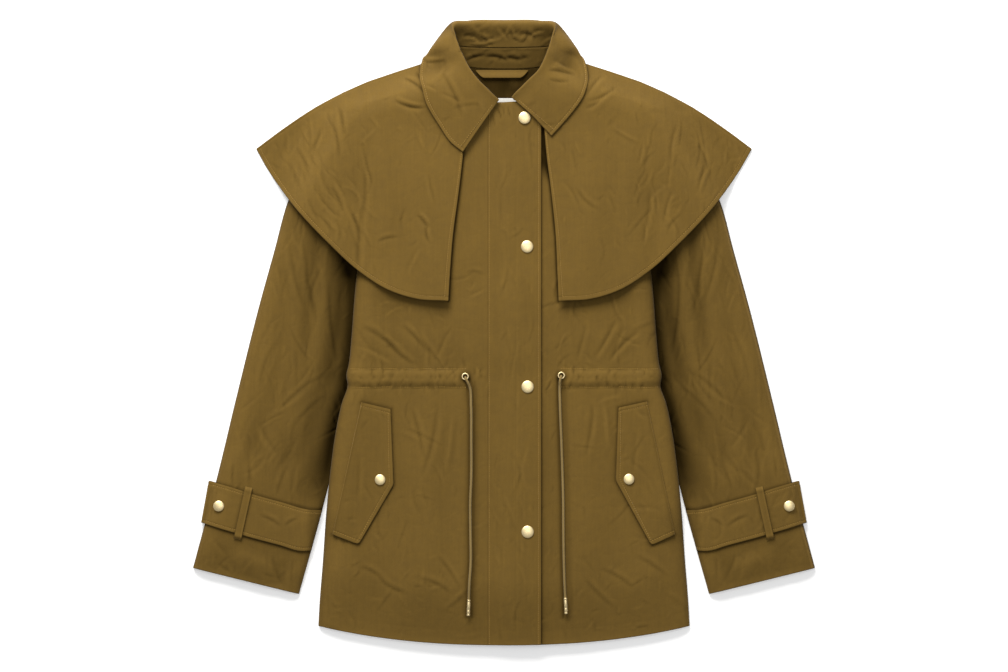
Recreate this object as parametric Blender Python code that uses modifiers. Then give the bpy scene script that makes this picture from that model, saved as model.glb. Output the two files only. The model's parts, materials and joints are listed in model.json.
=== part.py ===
# A short parka with a storm cape, laid flat on its back: +X is the viewer's right,
# +Y runs from hem to collar, +Z is up, and the floor is z = 0.
# Every size and table below is in millimetres; MM turns them into metres.
# "right" and "left" are the wearer's, so "right" lies at -X.

import math
from collections import namedtuple

import bmesh
import bpy
import numpy as np
from mathutils import Vector

for old in list(bpy.data.objects):
    bpy.data.objects.remove(old, do_unlink=True)

MM = 0.001

# ---------------------------------------------------------------- driving sizes
CLOTH = 1.3            # wall of the body, sleeve and cape cloth with its seam plies
FIRM = 1.6             # wall of the faced pieces: collar, flaps, straps
BAND = 2.0             # wall of the front placket
SEAM = 0.3             # gap at a seam
LAP = CLOTH + SEAM     # step from one cloth layer to the next

LENGTH_BELOW = 421.6   # origin to the lowest point of the hem
HEM_SWEEP = 25.5       # how much higher the hem is at the side seams
HEM_HALF = 250.0
HEM_POWER = 2.3

PLACKET_SEAM = -21.6   # the seam between right front and placket
PLACKET_EDGE = 50.0    # free edge of the placket
UNDERLAP_EDGE = 16.0   # edge of the left front under the placket
PLACKET_STEP = 2.3     # how far the placket rides over the underlap

LOFT = 12.0            # air between front and back near the sides
CROWN = 9.0            # and how much more of it there is at the middle
CROWN_REACH = 170.0
SIDE_ROUND = 26.0
SLEEVE_LOFT = 11.0
SLEEVE_ROUND = 24.0
SHOULDER_RAMP = 55.0
SLEEVE_TUCK = 60.0     # the sleeve thins towards its inner seam over this width
SIDE_LIFT = 6.4        # the body's side edges ride over the tucked sleeves
SIDE_LIFT_REACH = 62.0

NECK_CENTRE_Y = 347.0  # centre of the cape's hem circle
CAPE_STANDOFF = 4.4    # cape over the front at the neck
CAPE_FLARE = 5.6       # and how much more at its hem
FALL_RISE = 2.2        # the cape's back lies on the collar's fall here

CASING_Y = -59.0       # waist channel
CASING_HALF = 17.0
CASING_RISE = 1.8

CAP_FRONT = 16.8       # snap caps
CAP_SMALL = 14.6
CAP_HEIGHT = 2.6
EYELET_OUTER = 9.8
EYELET_WIRE = 1.9
CORD = 3.5
FERRULE = 4.8
FERRULE_LENGTH = 22.0


def table(columns, *rows):
    Row = namedtuple("Row", columns)
    return [Row(*row) for row in rows]


# half width of the body at its side seam, hem to underarm
SIDE = table("y half",
             (-396.1, 250.0), (-375.0, 249.0), (-307.0, 243.8), (-251.0, 239.8),
             (-179.0, 232.6), (-137.0, 226.8), (-94.0, 217.6), (-72.0, 210.4),
             (-58.0, 212.0), (-44.0, 209.0), (-10.0, 205.4), (44.0, 201.2),
             (86.0, 197.4))

# armhole seam, underarm to shoulder point
ARMHOLE = table("y half",
                (86.0, 197.4), (125.0, 189.5), (175.0, 187.0), (230.0, 192.0),
                (280.0, 202.0), (314.0, 209.0))

# neck seam of the fronts, centre to side neck
FRONT_NECK = table("x y", (0.0, 309.6), (12.0, 309.9), (40.0, 315.2), (64.0, 329.0),
                   (80.0, 349.0), (84.0, 366.0))

# neck seam of the back, centre to side neck
BACK_NECK = table("x y", (0.0, 354.6), (40.0, 355.6), (66.0, 359.5), (84.0, 366.0))

# outer edge of sleeve and shoulder, cuff to side neck
OUTER = table("y half",
              (-317.9, 419.2), (-199.4, 387.5), (-91.4, 361.6), (43.6, 327.8),
              (111.1, 309.0), (178.6, 290.0), (222.0, 270.0), (262.0, 247.0),
              (296.0, 225.0), (314.0, 209.0), (338.0, 158.0), (366.0, 84.0))

# inner seam of the sleeve, cuff to underarm
INNER = table("y half",
              (-352.9, 277.0), (-295.2, 260.6), (-239.9, 245.6), (-199.4, 234.8),
              (-158.9, 223.2), (-91.4, 206.6), (-23.9, 196.0), (30.0, 193.0),
              (60.0, 202.6), (86.0, 200.6))

# the cape's hem about the neck centre, from straight down round to the tip
CAPE_HEM = table("degrees radius",
                 (0.0, 324.0), (13.6, 314.0), (20.8, 323.6), (28.1, 329.0), (36.7, 328.8),
                 (45.9, 327.6), (60.0, 335.0), (73.5, 348.5))

# the hem of the cape's back, the same way
BACK_HEM = table("degrees radius",
                 (0.0, 322.0), (10.0, 322.3), (20.8, 324.4), (28.1, 327.4), (36.7, 328.2),
                 (45.9, 327.6), (60.0, 335.0), (73.5, 348.5))

# the cape's shoulder edge, neck to tip
CAPE_SHOULDER = table("x y", (88.0, 370.0), (110.7, 362.2), (144.5, 351.4), (183.6, 338.0),
                      (216.0, 323.6), (255.2, 303.0), (300.0, 273.2), (334.4, 247.6))

# the cape's front edges: height, and distance from the centre line on each side
CAPE_EDGE = table("y right left", (42.8, 74.6, 73.2), (79.5, 72.5, 71.6), (129.0, 68.6, 69.4),
                  (188.5, 60.8, 63.4), (240.0, 54.8, 57.0), (276.0, 51.6, 54.0),
                  (306.0, 49.0, 52.4))

# the collar, a row for each section from the right leaf's front end round the back of
# the neck to the left leaf's: neck seam, roll line, middle of the fall and outer edge.
# roll and drop shape the turn; "on" is what carries the fall: the cape or the floor.
COLLAR = table("neck_x neck_y roll_x roll_y roll_z roll drop mid_x mid_y edge_x edge_y on",
               (-10.0, 311.4, -6.8, 311.9, 35.0, 2.0, 0.6, -31.0, 277.2, -55.2, 242.1, "cape"),
               (-16.0, 312.4, -12.6, 317.0, 36.6, 2.4, 0.6, -41.0, 287.4, -70.0, 253.6, "cape"),
               (-31.0, 315.2, -22.5, 327.0, 37.6, 2.8, 0.6, -56.0, 305.0, -88.0, 279.0, "cape"),
               (-49.0, 321.8, -34.4, 338.8, 38.0, 3.0, 0.6, -70.0, 322.0, -103.0, 304.0, "cape"),
               (-65.5, 334.0, -47.0, 355.6, 36.5, 3.0, 0.8, -80.0, 343.0, -110.0, 328.0, "cape"),
               (-76.6, 349.8, -56.0, 373.0, 34.0, 3.2, 1.2, -88.0, 362.0, -113.6, 346.0, "cape"),
               (-81.2, 358.4, -61.4, 385.0, 32.0, 3.3, 1.6, -93.0, 373.0, -111.6, 361.4, "cape"),
               (-84.6, 368.0, -65.0, 397.0, 28.0, 3.4, 3.0, -101.6, 377.0, -107.4, 370.0, "side"),
               (-70.0, 363.0, -68.4, 411.2, 22.0, 3.4, 6.0, -97.0, 377.0, -99.0, 352.0, "floor"),
               (-44.0, 357.6, -46.0, 417.2, 17.0, 2.8, 6.4, -54.0, 396.0, -58.0, 346.0, "floor"),
               (0.0, 355.4, 0.0, 417.8, 15.0, 2.6, 6.4, 0.0, 396.0, 0.0, 345.0, "floor"),
               (44.0, 357.6, 46.0, 417.2, 17.0, 2.8, 6.4, 54.0, 396.0, 58.0, 346.0, "floor"),
               (70.0, 363.0, 68.2, 410.8, 22.0, 3.4, 6.0, 97.0, 377.0, 99.0, 352.0, "floor"),
               (84.6, 368.0, 64.4, 396.4, 28.0, 3.4, 3.0, 100.6, 377.0, 105.4, 369.6, "side"),
               (81.2, 358.4, 60.8, 383.0, 32.0, 3.3, 1.6, 92.0, 372.0, 110.4, 360.6, "cape"),
               (76.6, 349.8, 55.6, 370.0, 34.0, 3.2, 1.2, 88.0, 359.0, 113.0, 344.0, "cape"),
               (65.5, 334.0, 46.6, 352.8, 36.5, 3.0, 0.8, 80.0, 340.0, 109.4, 324.0, "cape"),
               (51.0, 322.6, 33.0, 339.0, 38.0, 3.0, 0.6, 69.0, 322.0, 102.0, 309.0, "cape"),
               (34.0, 316.0, 23.0, 329.0, 37.6, 2.8, 0.6, 56.0, 309.0, 89.0, 292.0, "cape"),
               (20.0, 313.0, 15.8, 322.0, 36.6, 2.4, 0.6, 46.0, 297.0, 76.0, 277.0, "cape"),
               (13.6, 312.0, 12.2, 317.6, 35.0, 2.0, 0.6, 38.0, 290.6, 63.8, 263.6, "cape"))
STAND_PART = 0.44      # how far up the stand reaches from neck seam to roll line

# pocket flaps, corner by corner round the outline, on the wearer's right; the hinge seam
# runs from the last corner to the first
FLAP_RIGHT = table("x y", (-191.7, -94.1), (-152.5, -103.5), (-148.5, -204.8), (-195.7, -285.8),
                   (-230.8, -272.3))
FLAP_LEFT = table("x y", (192.1, -93.0), (153.9, -101.5), (150.3, -199.4), (198.2, -286.9),
                  (230.0, -272.3))

# snap caps: where each one is
SNAPS = table("name x y across", ("snap_front_1", 27.6, 288.2, CAP_FRONT),
              ("snap_front_2", 31.0, 115.2, CAP_FRONT), ("snap_front_3", 31.7, -73.2, CAP_FRONT),
              ("snap_front_4", 31.7, -268.2, CAP_FRONT),
              ("snap_pocket_right", -166.7, -198.3, CAP_SMALL),
              ("snap_pocket_left", 168.1, -197.6, CAP_SMALL),
              ("snap_cuff_right", -383.9, -233.8, CAP_SMALL),
              ("snap_cuff_left", 383.8, -233.8, CAP_SMALL))

# the cords' routes from the eyelets down the fronts
CORD_RIGHT = table("x y lift", (-52.2, -59.4, 0.4), (-51.4, -62.0, 3.0), (-49.2, -66.4, 3.6),
                   (-46.4, -72.6, 1.8), (-44.2, -99.5, 1.1), (-43.9, -140.0, 0.7),
                   (-44.0, -198.0, 0.7), (-45.2, -226.4, 0.7), (-45.0, -270.0, 0.7),
                   (-44.6, -308.7, 0.7), (-46.6, -340.0, 0.3), (-47.3, -360.6, 0.5))
CORD_LEFT = table("x y lift", (77.1, -58.0, 0.4), (76.4, -60.4, 3.0), (75.4, -64.6, 3.6),
                  (75.0, -71.0, 1.8), (75.4, -98.1, 1.3), (77.2, -145.0, 0.7),
                  (79.0, -199.4, 0.7), (79.7, -226.4, 0.7), (79.9, -262.0, 0.7),
                  (80.3, -295.2, 0.7), (81.4, -335.0, 0.3), (82.5, -358.0, 0.5))


# ---------------------------------------------------------------- small mathematics
def smooth(q):
    q = np.clip(q, 0.0, 1.0)
    return q * q * (3.0 - 2.0 * q)


def turn(q):
    """A quarter circle: steep at 0, level at 1."""
    q = np.clip(q, 0.0, 1.0)
    return np.sqrt(np.maximum(0.0, 1.0 - (1.0 - q) ** 2))


def soft_curve(keys, values, at):
    """Cubic through a table's rows, with slopes from the neighbours."""
    keys, values, at = np.asarray(keys, float), np.asarray(values, float), np.asarray(at, float)
    slope = np.gradient(values, keys)
    i = np.clip(np.searchsorted(keys, at) - 1, 0, len(keys) - 2)
    h = keys[i + 1] - keys[i]
    q = np.clip((at - keys[i]) / h, 0.0, 1.0)
    return ((2 * q**3 - 3 * q**2 + 1) * values[i] + (q**3 - 2 * q**2 + q) * h * slope[i]
            + (3 * q**2 - 2 * q**3) * values[i + 1] + (q**3 - q**2) * h * slope[i + 1])


def column(rows, name):
    return np.array([getattr(row, name) for row in rows], float)


def half_at(rows, y):
    return soft_curve(column(rows, "y"), column(rows, "half"), y)


def through(points, params, keys=None):
    """Smooth curve through points, read at params from 0 to 1 of its chord length."""
    points = np.asarray(points, float)
    if keys is None:
        keys = np.concatenate([[0.0], np.cumsum(np.linalg.norm(np.diff(points, axis=0), axis=1))])
        keys = keys / keys[-1]
    return np.stack([soft_curve(keys, points[:, k], params) for k in range(points.shape[1])], -1)


def coons(bottom, top, left, right):
    """A patch between four edge curves: rows run from bottom to top."""
    s = np.linspace(0.0, 1.0, len(bottom))[None, :, None]
    t = np.linspace(0.0, 1.0, len(left))[:, None, None]
    s = np.broadcast_to(s, (len(left), len(bottom), 1))
    t = np.broadcast_to(t, (len(left), len(bottom), 1))
    # the edges' own spacing decides the weights inside
    s = s * 0 + ((1 - t) * share(bottom)[None, :, None] + t * share(top)[None, :, None])
    t = t * 0 + ((1 - s) * share(left)[:, None, None] + s * share(right)[:, None, None])
    ruled = ((1 - t) * bottom[None] + t * top[None] + (1 - s) * left[:, None] + s * right[:, None])
    corner = ((1 - s) * (1 - t) * bottom[0] + s * (1 - t) * bottom[-1]
              + (1 - s) * t * top[0] + s * t * top[-1])
    return ruled - corner


def share(points):
    run = np.concatenate([[0.0], np.cumsum(np.linalg.norm(np.diff(points, axis=0), axis=1))])
    return run / run[-1]


# ---------------------------------------------------------------- heights of the layers
def hem_y(x):
    return -LENGTH_BELOW + HEM_SWEEP * (np.abs(x) / HEM_HALF) ** HEM_POWER


def outline(y):
    return half_at(OUTER, y)


def inside_outline(x, y):
    """Distance in from the outer edge of sleeve and shoulder, square to that edge."""
    slope = (outline(y + 1.0) - outline(y - 1.0)) / 2.0
    return (outline(y) - np.abs(x)) / np.sqrt(1.0 + slope**2)


def edge_rise(e, y):
    """Height share near the outer edge: round along the sleeve, a ramp at the shoulder."""
    k = smooth((y - 200.0) / 110.0)
    ramp = np.sin(np.clip(e / SHOULDER_RAMP, 0.0, 1.0) * math.pi / 2)
    return (1.0 - k) * turn(e / SLEEVE_ROUND) + k * ramp


def cape_reach(x, y):
    """How far a point lies outside the cape's hem circle (negative inside it)."""
    angle = np.degrees(np.arctan2(np.abs(x), NECK_CENTRE_Y - y))
    radius = np.interp(angle, column(CAPE_HEM, "degrees"), column(CAPE_HEM, "radius"))
    return np.hypot(x, NECK_CENTRE_Y - y) - radius


def under_cape_back(x, y):
    """Middle of the cape's back: flat on the floor, up on the collar's fall at the neck."""
    rise = smooth((y - 266.0) / 58.0) * (1.0 - smooth((np.abs(x) - 128.0) / 42.0))
    return CLOTH / 2 + FALL_RISE * rise


def back_z(x, y):
    """Middle of the back and of the sleeves' under halves, which lie on the cape's back."""
    over = 1.0 - smooth((cape_reach(x, y) - 44.0) / 44.0)
    return under_cape_back(x, y) + (LAP + 0.5) * over


def side_lift(x, y):
    inside = half_at(SIDE, np.minimum(y, 86.0)) - np.abs(x)
    along = smooth((y + 290.0) / 58.0) * (1.0 - smooth((y - 52.0) / 58.0))
    return SIDE_LIFT * along * smooth(1.0 - inside / SIDE_LIFT_REACH)


def body_back_z(x, y):
    return back_z(x, y) + side_lift(x, y)


def fullness(x, y):
    """Air under the fronts before their edges close it."""
    ends = 0.52 + 0.48 * smooth((y - hem_y(x)) / 90.0)
    return (LOFT + CROWN * np.exp(-(x / CROWN_REACH) ** 2)) * ends


def crease_at_side(y):
    """0 where body and sleeve are one surface above the underarm, 1 where they part."""
    return smooth((120.0 - y) / 46.0)


def casing(x, y):
    inner = np.where(np.asarray(x) < 0, 50.0, 75.0)
    across = smooth((np.abs(x) - inner) / 10.0 + 0.5)
    return CASING_RISE * across * smooth(1.0 - np.abs(y - CASING_Y) / CASING_HALF)


def front_z(x, y):
    """Middle of the fronts."""
    inside = half_at(SIDE, np.minimum(y, 86.0)) - np.abs(x)
    closing = 1.0 - crease_at_side(y) * (1.0 - turn(inside / SIDE_ROUND))
    level = np.clip(y, 60.0, 366.0)
    above = edge_rise(inside_outline(x, level), level)
    return (body_back_z(x, y) + LAP + fullness(x, y) * closing * above
            + casing(x, y) * closing)


def sleeve_z(x, y):
    """Middle of the sleeves' upper halves."""
    inner = np.abs(x) - half_at(INNER, np.clip(y, -352.9, 86.0))
    tuck = 1.0 - crease_at_side(y) * (1.0 - smooth(inner / SLEEVE_TUCK))
    free = smooth((-196.0 - y) / 60.0)                     # below the body's edge it rounds
    tuck = tuck * (1.0 - free) + turn(inner / 22.0) * free
    cuff = 0.72 + 0.28 * smooth((y + 340.0) / 120.0)
    blend = smooth((y - 40.0) / 120.0)
    air = SLEEVE_LOFT * cuff * (1.0 - blend) + (LOFT + CROWN * np.exp(-(x / CROWN_REACH) ** 2)) * blend
    return back_z(x, y) + LAP + air * tuck * edge_rise(inside_outline(x, y), y)


def placket_z(x, y):
    return front_z(x, y) + PLACKET_STEP * smooth((x - PLACKET_SEAM) / 36.0)


def shoulder_distance(x, y):
    """Distance in from the cape's shoulder edge."""
    ex, ey = column(CAPE_SHOULDER, "x"), column(CAPE_SHOULDER, "y")
    line = np.interp(np.abs(x), ex, ey)
    slope = np.interp(np.abs(x) + 1.0, ex, ey) - line
    return (line - y) / np.sqrt(1.0 + slope**2)


def cape_z(x, y):
    """Middle of the cape's fronts: a tent over front and sleeve, down at the tips."""
    edge = inside_outline(x, np.clip(y, -300.0, 366.0))
    tent = smooth((edge + 40.0) / 66.0)
    out = np.clip((cape_reach(x, y) + 330.0) / 330.0, 0.0, 1.0)
    air = LOFT + CROWN * np.exp(-(x / CROWN_REACH) ** 2) + CAPE_STANDOFF + CAPE_FLARE * out**1.6
    valley = 2.6 * np.exp(-((np.abs(x) - 198.0) / 17.0) ** 2) * smooth((240.0 - y) / 70.0)
    d = shoulder_distance(x, y)
    near = smooth((300.0 - np.abs(x)) / 160.0)
    bent = (1.0 - near) * turn(d / 20.0) + near * np.sin(np.clip(d / 48.0, 0.0, 1.0) * math.pi / 2)
    base = back_z(x, y) * tent + under_cape_back(x, y) * (1.0 - tent)
    return base + LAP + (air * tent - valley) * bent


# ---------------------------------------------------------------- materials and meshes
def finish(name, colour, roughness, metallic=0.0):
    material = bpy.data.materials.new(name)
    material.use_nodes = True
    shader = material.node_tree.nodes["Principled BSDF"]
    shader.inputs["Base Color"].default_value = (*colour, 1.0)
    shader.inputs["Roughness"].default_value = roughness
    shader.inputs["Metallic"].default_value = metallic
    return material


COTTON = finish("cotton", (0.185, 0.118, 0.032), 0.82)
COTTON_INSIDE = finish("cotton_inside", (0.12, 0.076, 0.024), 0.85)
BRASS = finish("brass", (0.72, 0.55, 0.27), 0.25, 1.0)
CORDING = finish("cording", (0.19, 0.125, 0.045), 0.8)
TAPE = finish("white_tape", (0.80, 0.79, 0.76), 0.7)

parka = bpy.data.collections.new("parka")
bpy.context.scene.collection.children.link(parka)
garment = bpy.data.objects.new("garment", None)
parka.objects.link(garment)


def add(name, mesh, material, round_faces=True):
    piece = bpy.data.objects.new(name, mesh)
    mesh.materials.append(material)
    if round_faces:
        mesh.shade_smooth()
        mesh.set_sharp_from_angle(angle=math.radians(40.0))
    parka.objects.link(piece)
    piece.parent = garment
    return piece


def wall(name, grid, thickness, material):
    """A cloth piece: an open surface through a grid of points, given its thickness."""
    rows, cols = grid.shape[:2]
    bm = bmesh.new()
    verts = [[bm.verts.new(Vector(grid[r, c]) * MM) for c in range(cols)] for r in range(rows)]
    for r in range(rows - 1):
        for c in range(cols - 1):
            bm.faces.new((verts[r][c], verts[r][c + 1], verts[r + 1][c + 1], verts[r + 1][c]))
    bmesh.ops.recalc_face_normals(bm, faces=bm.faces)
    mesh = bpy.data.meshes.new(name)
    bm.to_mesh(mesh)
    bm.free()
    piece = add(name, mesh, material)
    solid = piece.modifiers.new("cloth", "SOLIDIFY")
    solid.thickness = thickness * MM
    solid.offset = 0.0
    solid.use_even_offset = False
    return piece


def laid(plan, height):
    """Give a plan of (x, y) points their height."""
    x, y = plan[..., 0], plan[..., 1]
    return np.stack([x, y, height(x, y)], -1)


def mirrored(grid):
    return grid * np.array([-1.0, 1.0, 1.0][: grid.shape[-1]])


def closing(count, power=1.8):
    """Spacing from 0 to 1 that closes up towards 1."""
    q = np.linspace(0.0, 1.0, count + 1)
    return 1.0 - (1.0 - q) ** power


# ---------------------------------------------------------------- body
SIDE_ROWS, ARM_ROWS = 13, 7

side_y = np.linspace(SIDE[0].y, SIDE[-1].y, SIDE_ROWS + 1)
side_line = np.stack([half_at(SIDE, side_y), side_y], -1)
arm_line = through([(row.half, row.y) for row in ARMHOLE], np.linspace(0, 1, ARM_ROWS + 1))
body_edge = np.concatenate([side_line, arm_line[1:]])          # hem to shoulder point, at +X
row_share = share(body_edge)

SHOULDER_STEPS = 5
shoulder_line = through([(row.half, row.y) for row in OUTER[-3:]],
                        np.linspace(0, 1, SHOULDER_STEPS + 1))   # shoulder point to side neck


def body_plan(inner_x, neck, neck_steps):
    """Plan of one front or half back at +X, from inner_x out to the side seam."""
    neck_x, neck_y = column(neck, "x"), column(neck, "y")
    inner_top = np.interp(inner_x, neck_x, neck_y)
    points = [(inner_x, inner_top)] + [(row.x, row.y) for row in neck if row.x > inner_x + 4.0]
    neck_line = through(points, np.linspace(0, 1, neck_steps + 1))
    top = np.concatenate([neck_line, shoulder_line[::-1][1:]])
    spacing = closing(len(top) - 1)
    hem_x = inner_x + (body_edge[0, 0] - inner_x) * spacing
    hem = np.stack([hem_x, hem_y(hem_x)], -1)
    hem[-1] = body_edge[0]
    hem_low = hem_y(inner_x)
    inner = np.stack([np.full(len(body_edge), inner_x),
                      hem_low + (inner_top - hem_low) * row_share], -1)
    return coons(hem, top, inner, body_edge)


half_back = body_plan(0.0, BACK_NECK, 4)
back_plan = np.concatenate([mirrored(half_back)[:, ::-1][:, :-1], half_back], 1)
wall("back_panel", laid(back_plan, body_back_z), CLOTH, COTTON)

right_plan = mirrored(body_plan(-PLACKET_SEAM + SEAM / 2, FRONT_NECK, 4))
wall("front_right", laid(right_plan, front_z), CLOTH, COTTON)
left_plan = body_plan(UNDERLAP_EDGE, FRONT_NECK, 4)
wall("front_left", laid(left_plan, front_z), CLOTH, COTTON)

PLACKET_ROWS, PLACKET_COLS = 20, 4
band_x = np.linspace(PLACKET_SEAM + SEAM / 2, PLACKET_EDGE, PLACKET_COLS + 1)
band_t = np.linspace(0.0, 1.0, PLACKET_ROWS + 1)
band_top = np.interp(band_x, [0.0, 30.0, 50.0], [309.2, 311.0, 317.0])
band_plan = np.stack([np.broadcast_to(band_x, (len(band_t), len(band_x))),
                      hem_y(band_x)[None] + band_t[:, None] * (band_top - hem_y(band_x))[None]], -1)
wall("front_placket", laid(band_plan, placket_z), BAND, COTTON)

# ---------------------------------------------------------------- sleeves
SLEEVE_ROWS = 12                                                # cuff to underarm
UNDERARM_ACROSS = 115.0                                         # outer edge level with the underarm
ACROSS = np.array([0.0, 0.05, 0.14, 0.31, 0.53, 0.77, 1.0])     # closer at the outer fold

cuff_outer = np.array([OUTER[0].half, OUTER[0].y])
cuff_inner = np.array([INNER[0].half, INNER[0].y])
inner_y = np.linspace(cuff_inner[1], INNER[-1].y, SLEEVE_ROWS + 1)
inner_line = np.stack([half_at(INNER, inner_y), inner_y], -1)
arm_seam = arm_line + np.array([SEAM, 0.0])                     # underarm to shoulder
inner_side = np.concatenate([inner_line[:-1], arm_seam])
inner_side[SLEEVE_ROWS, 0] += 1.4                               # eased at the underarm
outer_y = np.concatenate([np.linspace(cuff_outer[1], UNDERARM_ACROSS, SLEEVE_ROWS + 1)[:-1],
                          np.linspace(UNDERARM_ACROSS, ARMHOLE[-1].y, ARM_ROWS + 1)])
outer_side = np.stack([outline(outer_y), outer_y], -1)
outer_side[-1] = arm_seam[-1] + np.array([2.4, 0.0])
sleeve_plan = (outer_side[:, None] + (inner_side - outer_side)[:, None] * ACROSS[None, :, None])


def strap_zone(x, y):
    """1 where the cuff strap runs round the sleeve, 0 away from it."""
    along = (np.abs(x) - cuff_inner[0]) / (cuff_outer[0] - cuff_inner[0])
    line = cuff_inner[1] + (cuff_outer[1] - cuff_inner[1]) * along
    up = y - line                                               # height above the cuff line
    return smooth((up - 4.0) / 30.0) * (1.0 - smooth((up - 142.0) / 46.0))


def sleeve_under_z(x, y):
    return back_z(x, y) + (FIRM + 0.4) * strap_zone(x, y)


def sleeve_top_z(x, y):
    return sleeve_z(x, y) + (FIRM + 0.4) * strap_zone(x, y)


for side, plan in (("right", mirrored(sleeve_plan)), ("left", sleeve_plan)):
    wall("sleeve_%s_under" % side, laid(plan, sleeve_under_z), CLOTH, COTTON)
    wall("sleeve_%s_top" % side, laid(plan, sleeve_top_z), CLOTH, COTTON)


# ---------------------------------------------------------------- cuff straps and loops
# each strap is one band: over the sleeve, round its outer edge and back underneath
STRAP_TOP = table("x y", (245.2, -239.6), (262.0, -238.9), (300.0, -228.6), (336.0, -218.6),
                  (368.0, -208.4), (396.2, -200.6))
STRAP_BOTTOM = table("x y", (260.4, -294.4), (274.0, -294.6), (302.0, -286.8), (336.0, -277.8),
                     (366.0, -269.2), (406.4, -257.0))
STRAP_COLS, STRAP_ROWS = 12, 3
STRAP_RISE = CLOTH / 2 + FIRM / 2 + 0.7


def strap_grid(top, bottom):
    across = np.linspace(0.0, 1.0, STRAP_COLS + 1)
    up = np.linspace(0.0, 1.0, STRAP_ROWS + 1)[:, None, None]
    upper = through([(r.x, r.y) for r in top], across)
    lower = through([(r.x, r.y) for r in bottom], across)
    plan = lower[None] * (1 - up) + upper[None] * up
    x, y = plan[..., 0], plan[..., 1]
    limit = outline(y) - 5.0
    over = sleeve_top_z(np.minimum(x, limit), y) + STRAP_RISE
    beyond = smooth((x - limit) / (x.max(axis=1, keepdims=True) - limit).clip(1.0))
    under = back_z(x, y) - CLOTH / 2 + FIRM / 2
    over = over * (1 - beyond) + (under + LAP + 5.4) * beyond
    face = np.stack([x, y, over], -1)
    bend = face[:, -1:] + np.array([0.9, 0.0, 0.0])
    bend[..., 2] = (face[:, -1:, 2] + under[:, -1:]) / 2
    below = np.stack([x, y, under], -1)[:, ::-1]
    return np.concatenate([face, bend, below], 1)


strap = strap_grid(STRAP_TOP, STRAP_BOTTOM)
wall("cuff_strap_right", mirrored(strap), FIRM, COTTON)
wall("cuff_strap_left", strap, FIRM, COTTON)

LOOP_TOP, LOOP_BOTTOM, LOOP_WIDTH = (343.4, -209.0), (358.6, -277.6), 10.4
LOOP_RISE = STRAP_RISE + FIRM / 2 + CLOTH / 2 + 0.5
LOOP_END = CLOTH + 0.7


def loop_grid():
    """A narrow strip over the strap, its ends stitched to the sleeve above and below it."""
    rows = table("share rise", (-0.062, LOOP_END), (-0.044, LOOP_END + 0.7), (-0.016, LOOP_RISE),
                 (0.06, LOOP_RISE), (0.35, LOOP_RISE), (0.65, LOOP_RISE), (0.94, LOOP_RISE),
                 (1.016, LOOP_RISE), (1.044, LOOP_END + 0.7), (1.062, LOOP_END))
    a, b = np.array(LOOP_BOTTOM), np.array(LOOP_TOP)
    side = np.array([b[1] - a[1], a[0] - b[0]]) / np.linalg.norm(b - a) * LOOP_WIDTH / 2
    out = []
    for row in rows:
        centre = a + (b - a) * row.share
        out.append([[*(centre + side * k), row.rise] for k in (-1.0, 0.0, 1.0)])
    grid = np.array(out)
    grid[..., 2] += sleeve_top_z(grid[..., 0], grid[..., 1])
    return grid


wall("cuff_loop_right", mirrored(loop_grid()), CLOTH, COTTON)
wall("cuff_loop_left", loop_grid(), CLOTH, COTTON)

# ---------------------------------------------------------------- pocket flaps
FLAP_RISE = CLOTH / 2 + FIRM / 2 + 0.8
FLAP_ROUND = 9.0       # the free lower corner is rounded


def flap_grid(corners):
    """A patch between the hinge seam and the free edges of the flap."""
    a, b, c, d, e = [np.array([r.x, r.y]) for r in corners]
    steps = np.linspace(0.0, 1.0, 7)[:, None]
    hinge = e + (a - e) * steps
    free = np.concatenate([d + (c - d) * np.linspace(0, 1, 4)[:, None],
                           (c + (b - c) * np.linspace(0, 1, 4)[:, None])[1:]])
    low = e + (d - e) * np.linspace(0, 1, 5)[:, None]
    high = a + (b - a) * np.linspace(0, 1, 5)[:, None]
    plan = coons(hinge, free, low, high)
    plan[-1, 0] = d + ((e - d) / np.linalg.norm(e - d) + (c - d) / np.linalg.norm(c - d)) * 2.6
    def height(x, y):
        inside = half_at(SIDE, y) - np.abs(x)
        return front_z(x, y) + FLAP_RISE + 1.6 * smooth(1.0 - inside / 40.0)

    return laid(plan, height)


wall("pocket_flap_right", flap_grid(FLAP_RIGHT), FIRM, COTTON)
wall("pocket_flap_left", flap_grid(FLAP_LEFT), FIRM, COTTON)

# ---------------------------------------------------------------- cape
CAPE_COLS, CAPE_ROWS = 12, 9


def cape_hem_line(rows, start, count):
    """The hem from an angle round to the tip."""
    angles = np.linspace(start, rows[-1].degrees, count + 1)
    radius = soft_curve(column(rows, "degrees"), column(rows, "radius"), angles)
    angles = np.radians(angles)
    return np.stack([radius * np.sin(angles), NECK_CENTRE_Y - radius * np.cos(angles)], -1)


def cape_front_plan(side):
    start = math.degrees(math.atan2(getattr(CAPE_EDGE[0], side), NECK_CENTRE_Y - CAPE_EDGE[0].y))
    hem = cape_hem_line(CAPE_HEM, start, CAPE_COLS)
    steps = np.linspace(0.0, 1.0, CAPE_ROWS + 1)
    edge_y = CAPE_EDGE[0].y + (CAPE_EDGE[-1].y - CAPE_EDGE[0].y) * steps
    edge = np.stack([soft_curve(column(CAPE_EDGE, "y"), column(CAPE_EDGE, side), edge_y), edge_y], -1)
    edge[0] = hem[0]
    shoulder = through([(r.x, r.y) for r in CAPE_SHOULDER][::-1], steps)
    shoulder[0] = hem[-1]
    edge[-1] += np.array([0.0, 8.0])
    neck = through([edge[-1], (66.0, 323.0), (80.0, 338.0), (88.0, 352.0), shoulder[-1]],
                   np.linspace(0.0, 1.0, CAPE_COLS + 1))
    return coons(hem, neck, edge, shoulder)


wall("cape_front_right", laid(mirrored(cape_front_plan("right")), cape_z), CLOTH, COTTON)
wall("cape_front_left", laid(cape_front_plan("left"), cape_z), CLOTH, COTTON)

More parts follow.
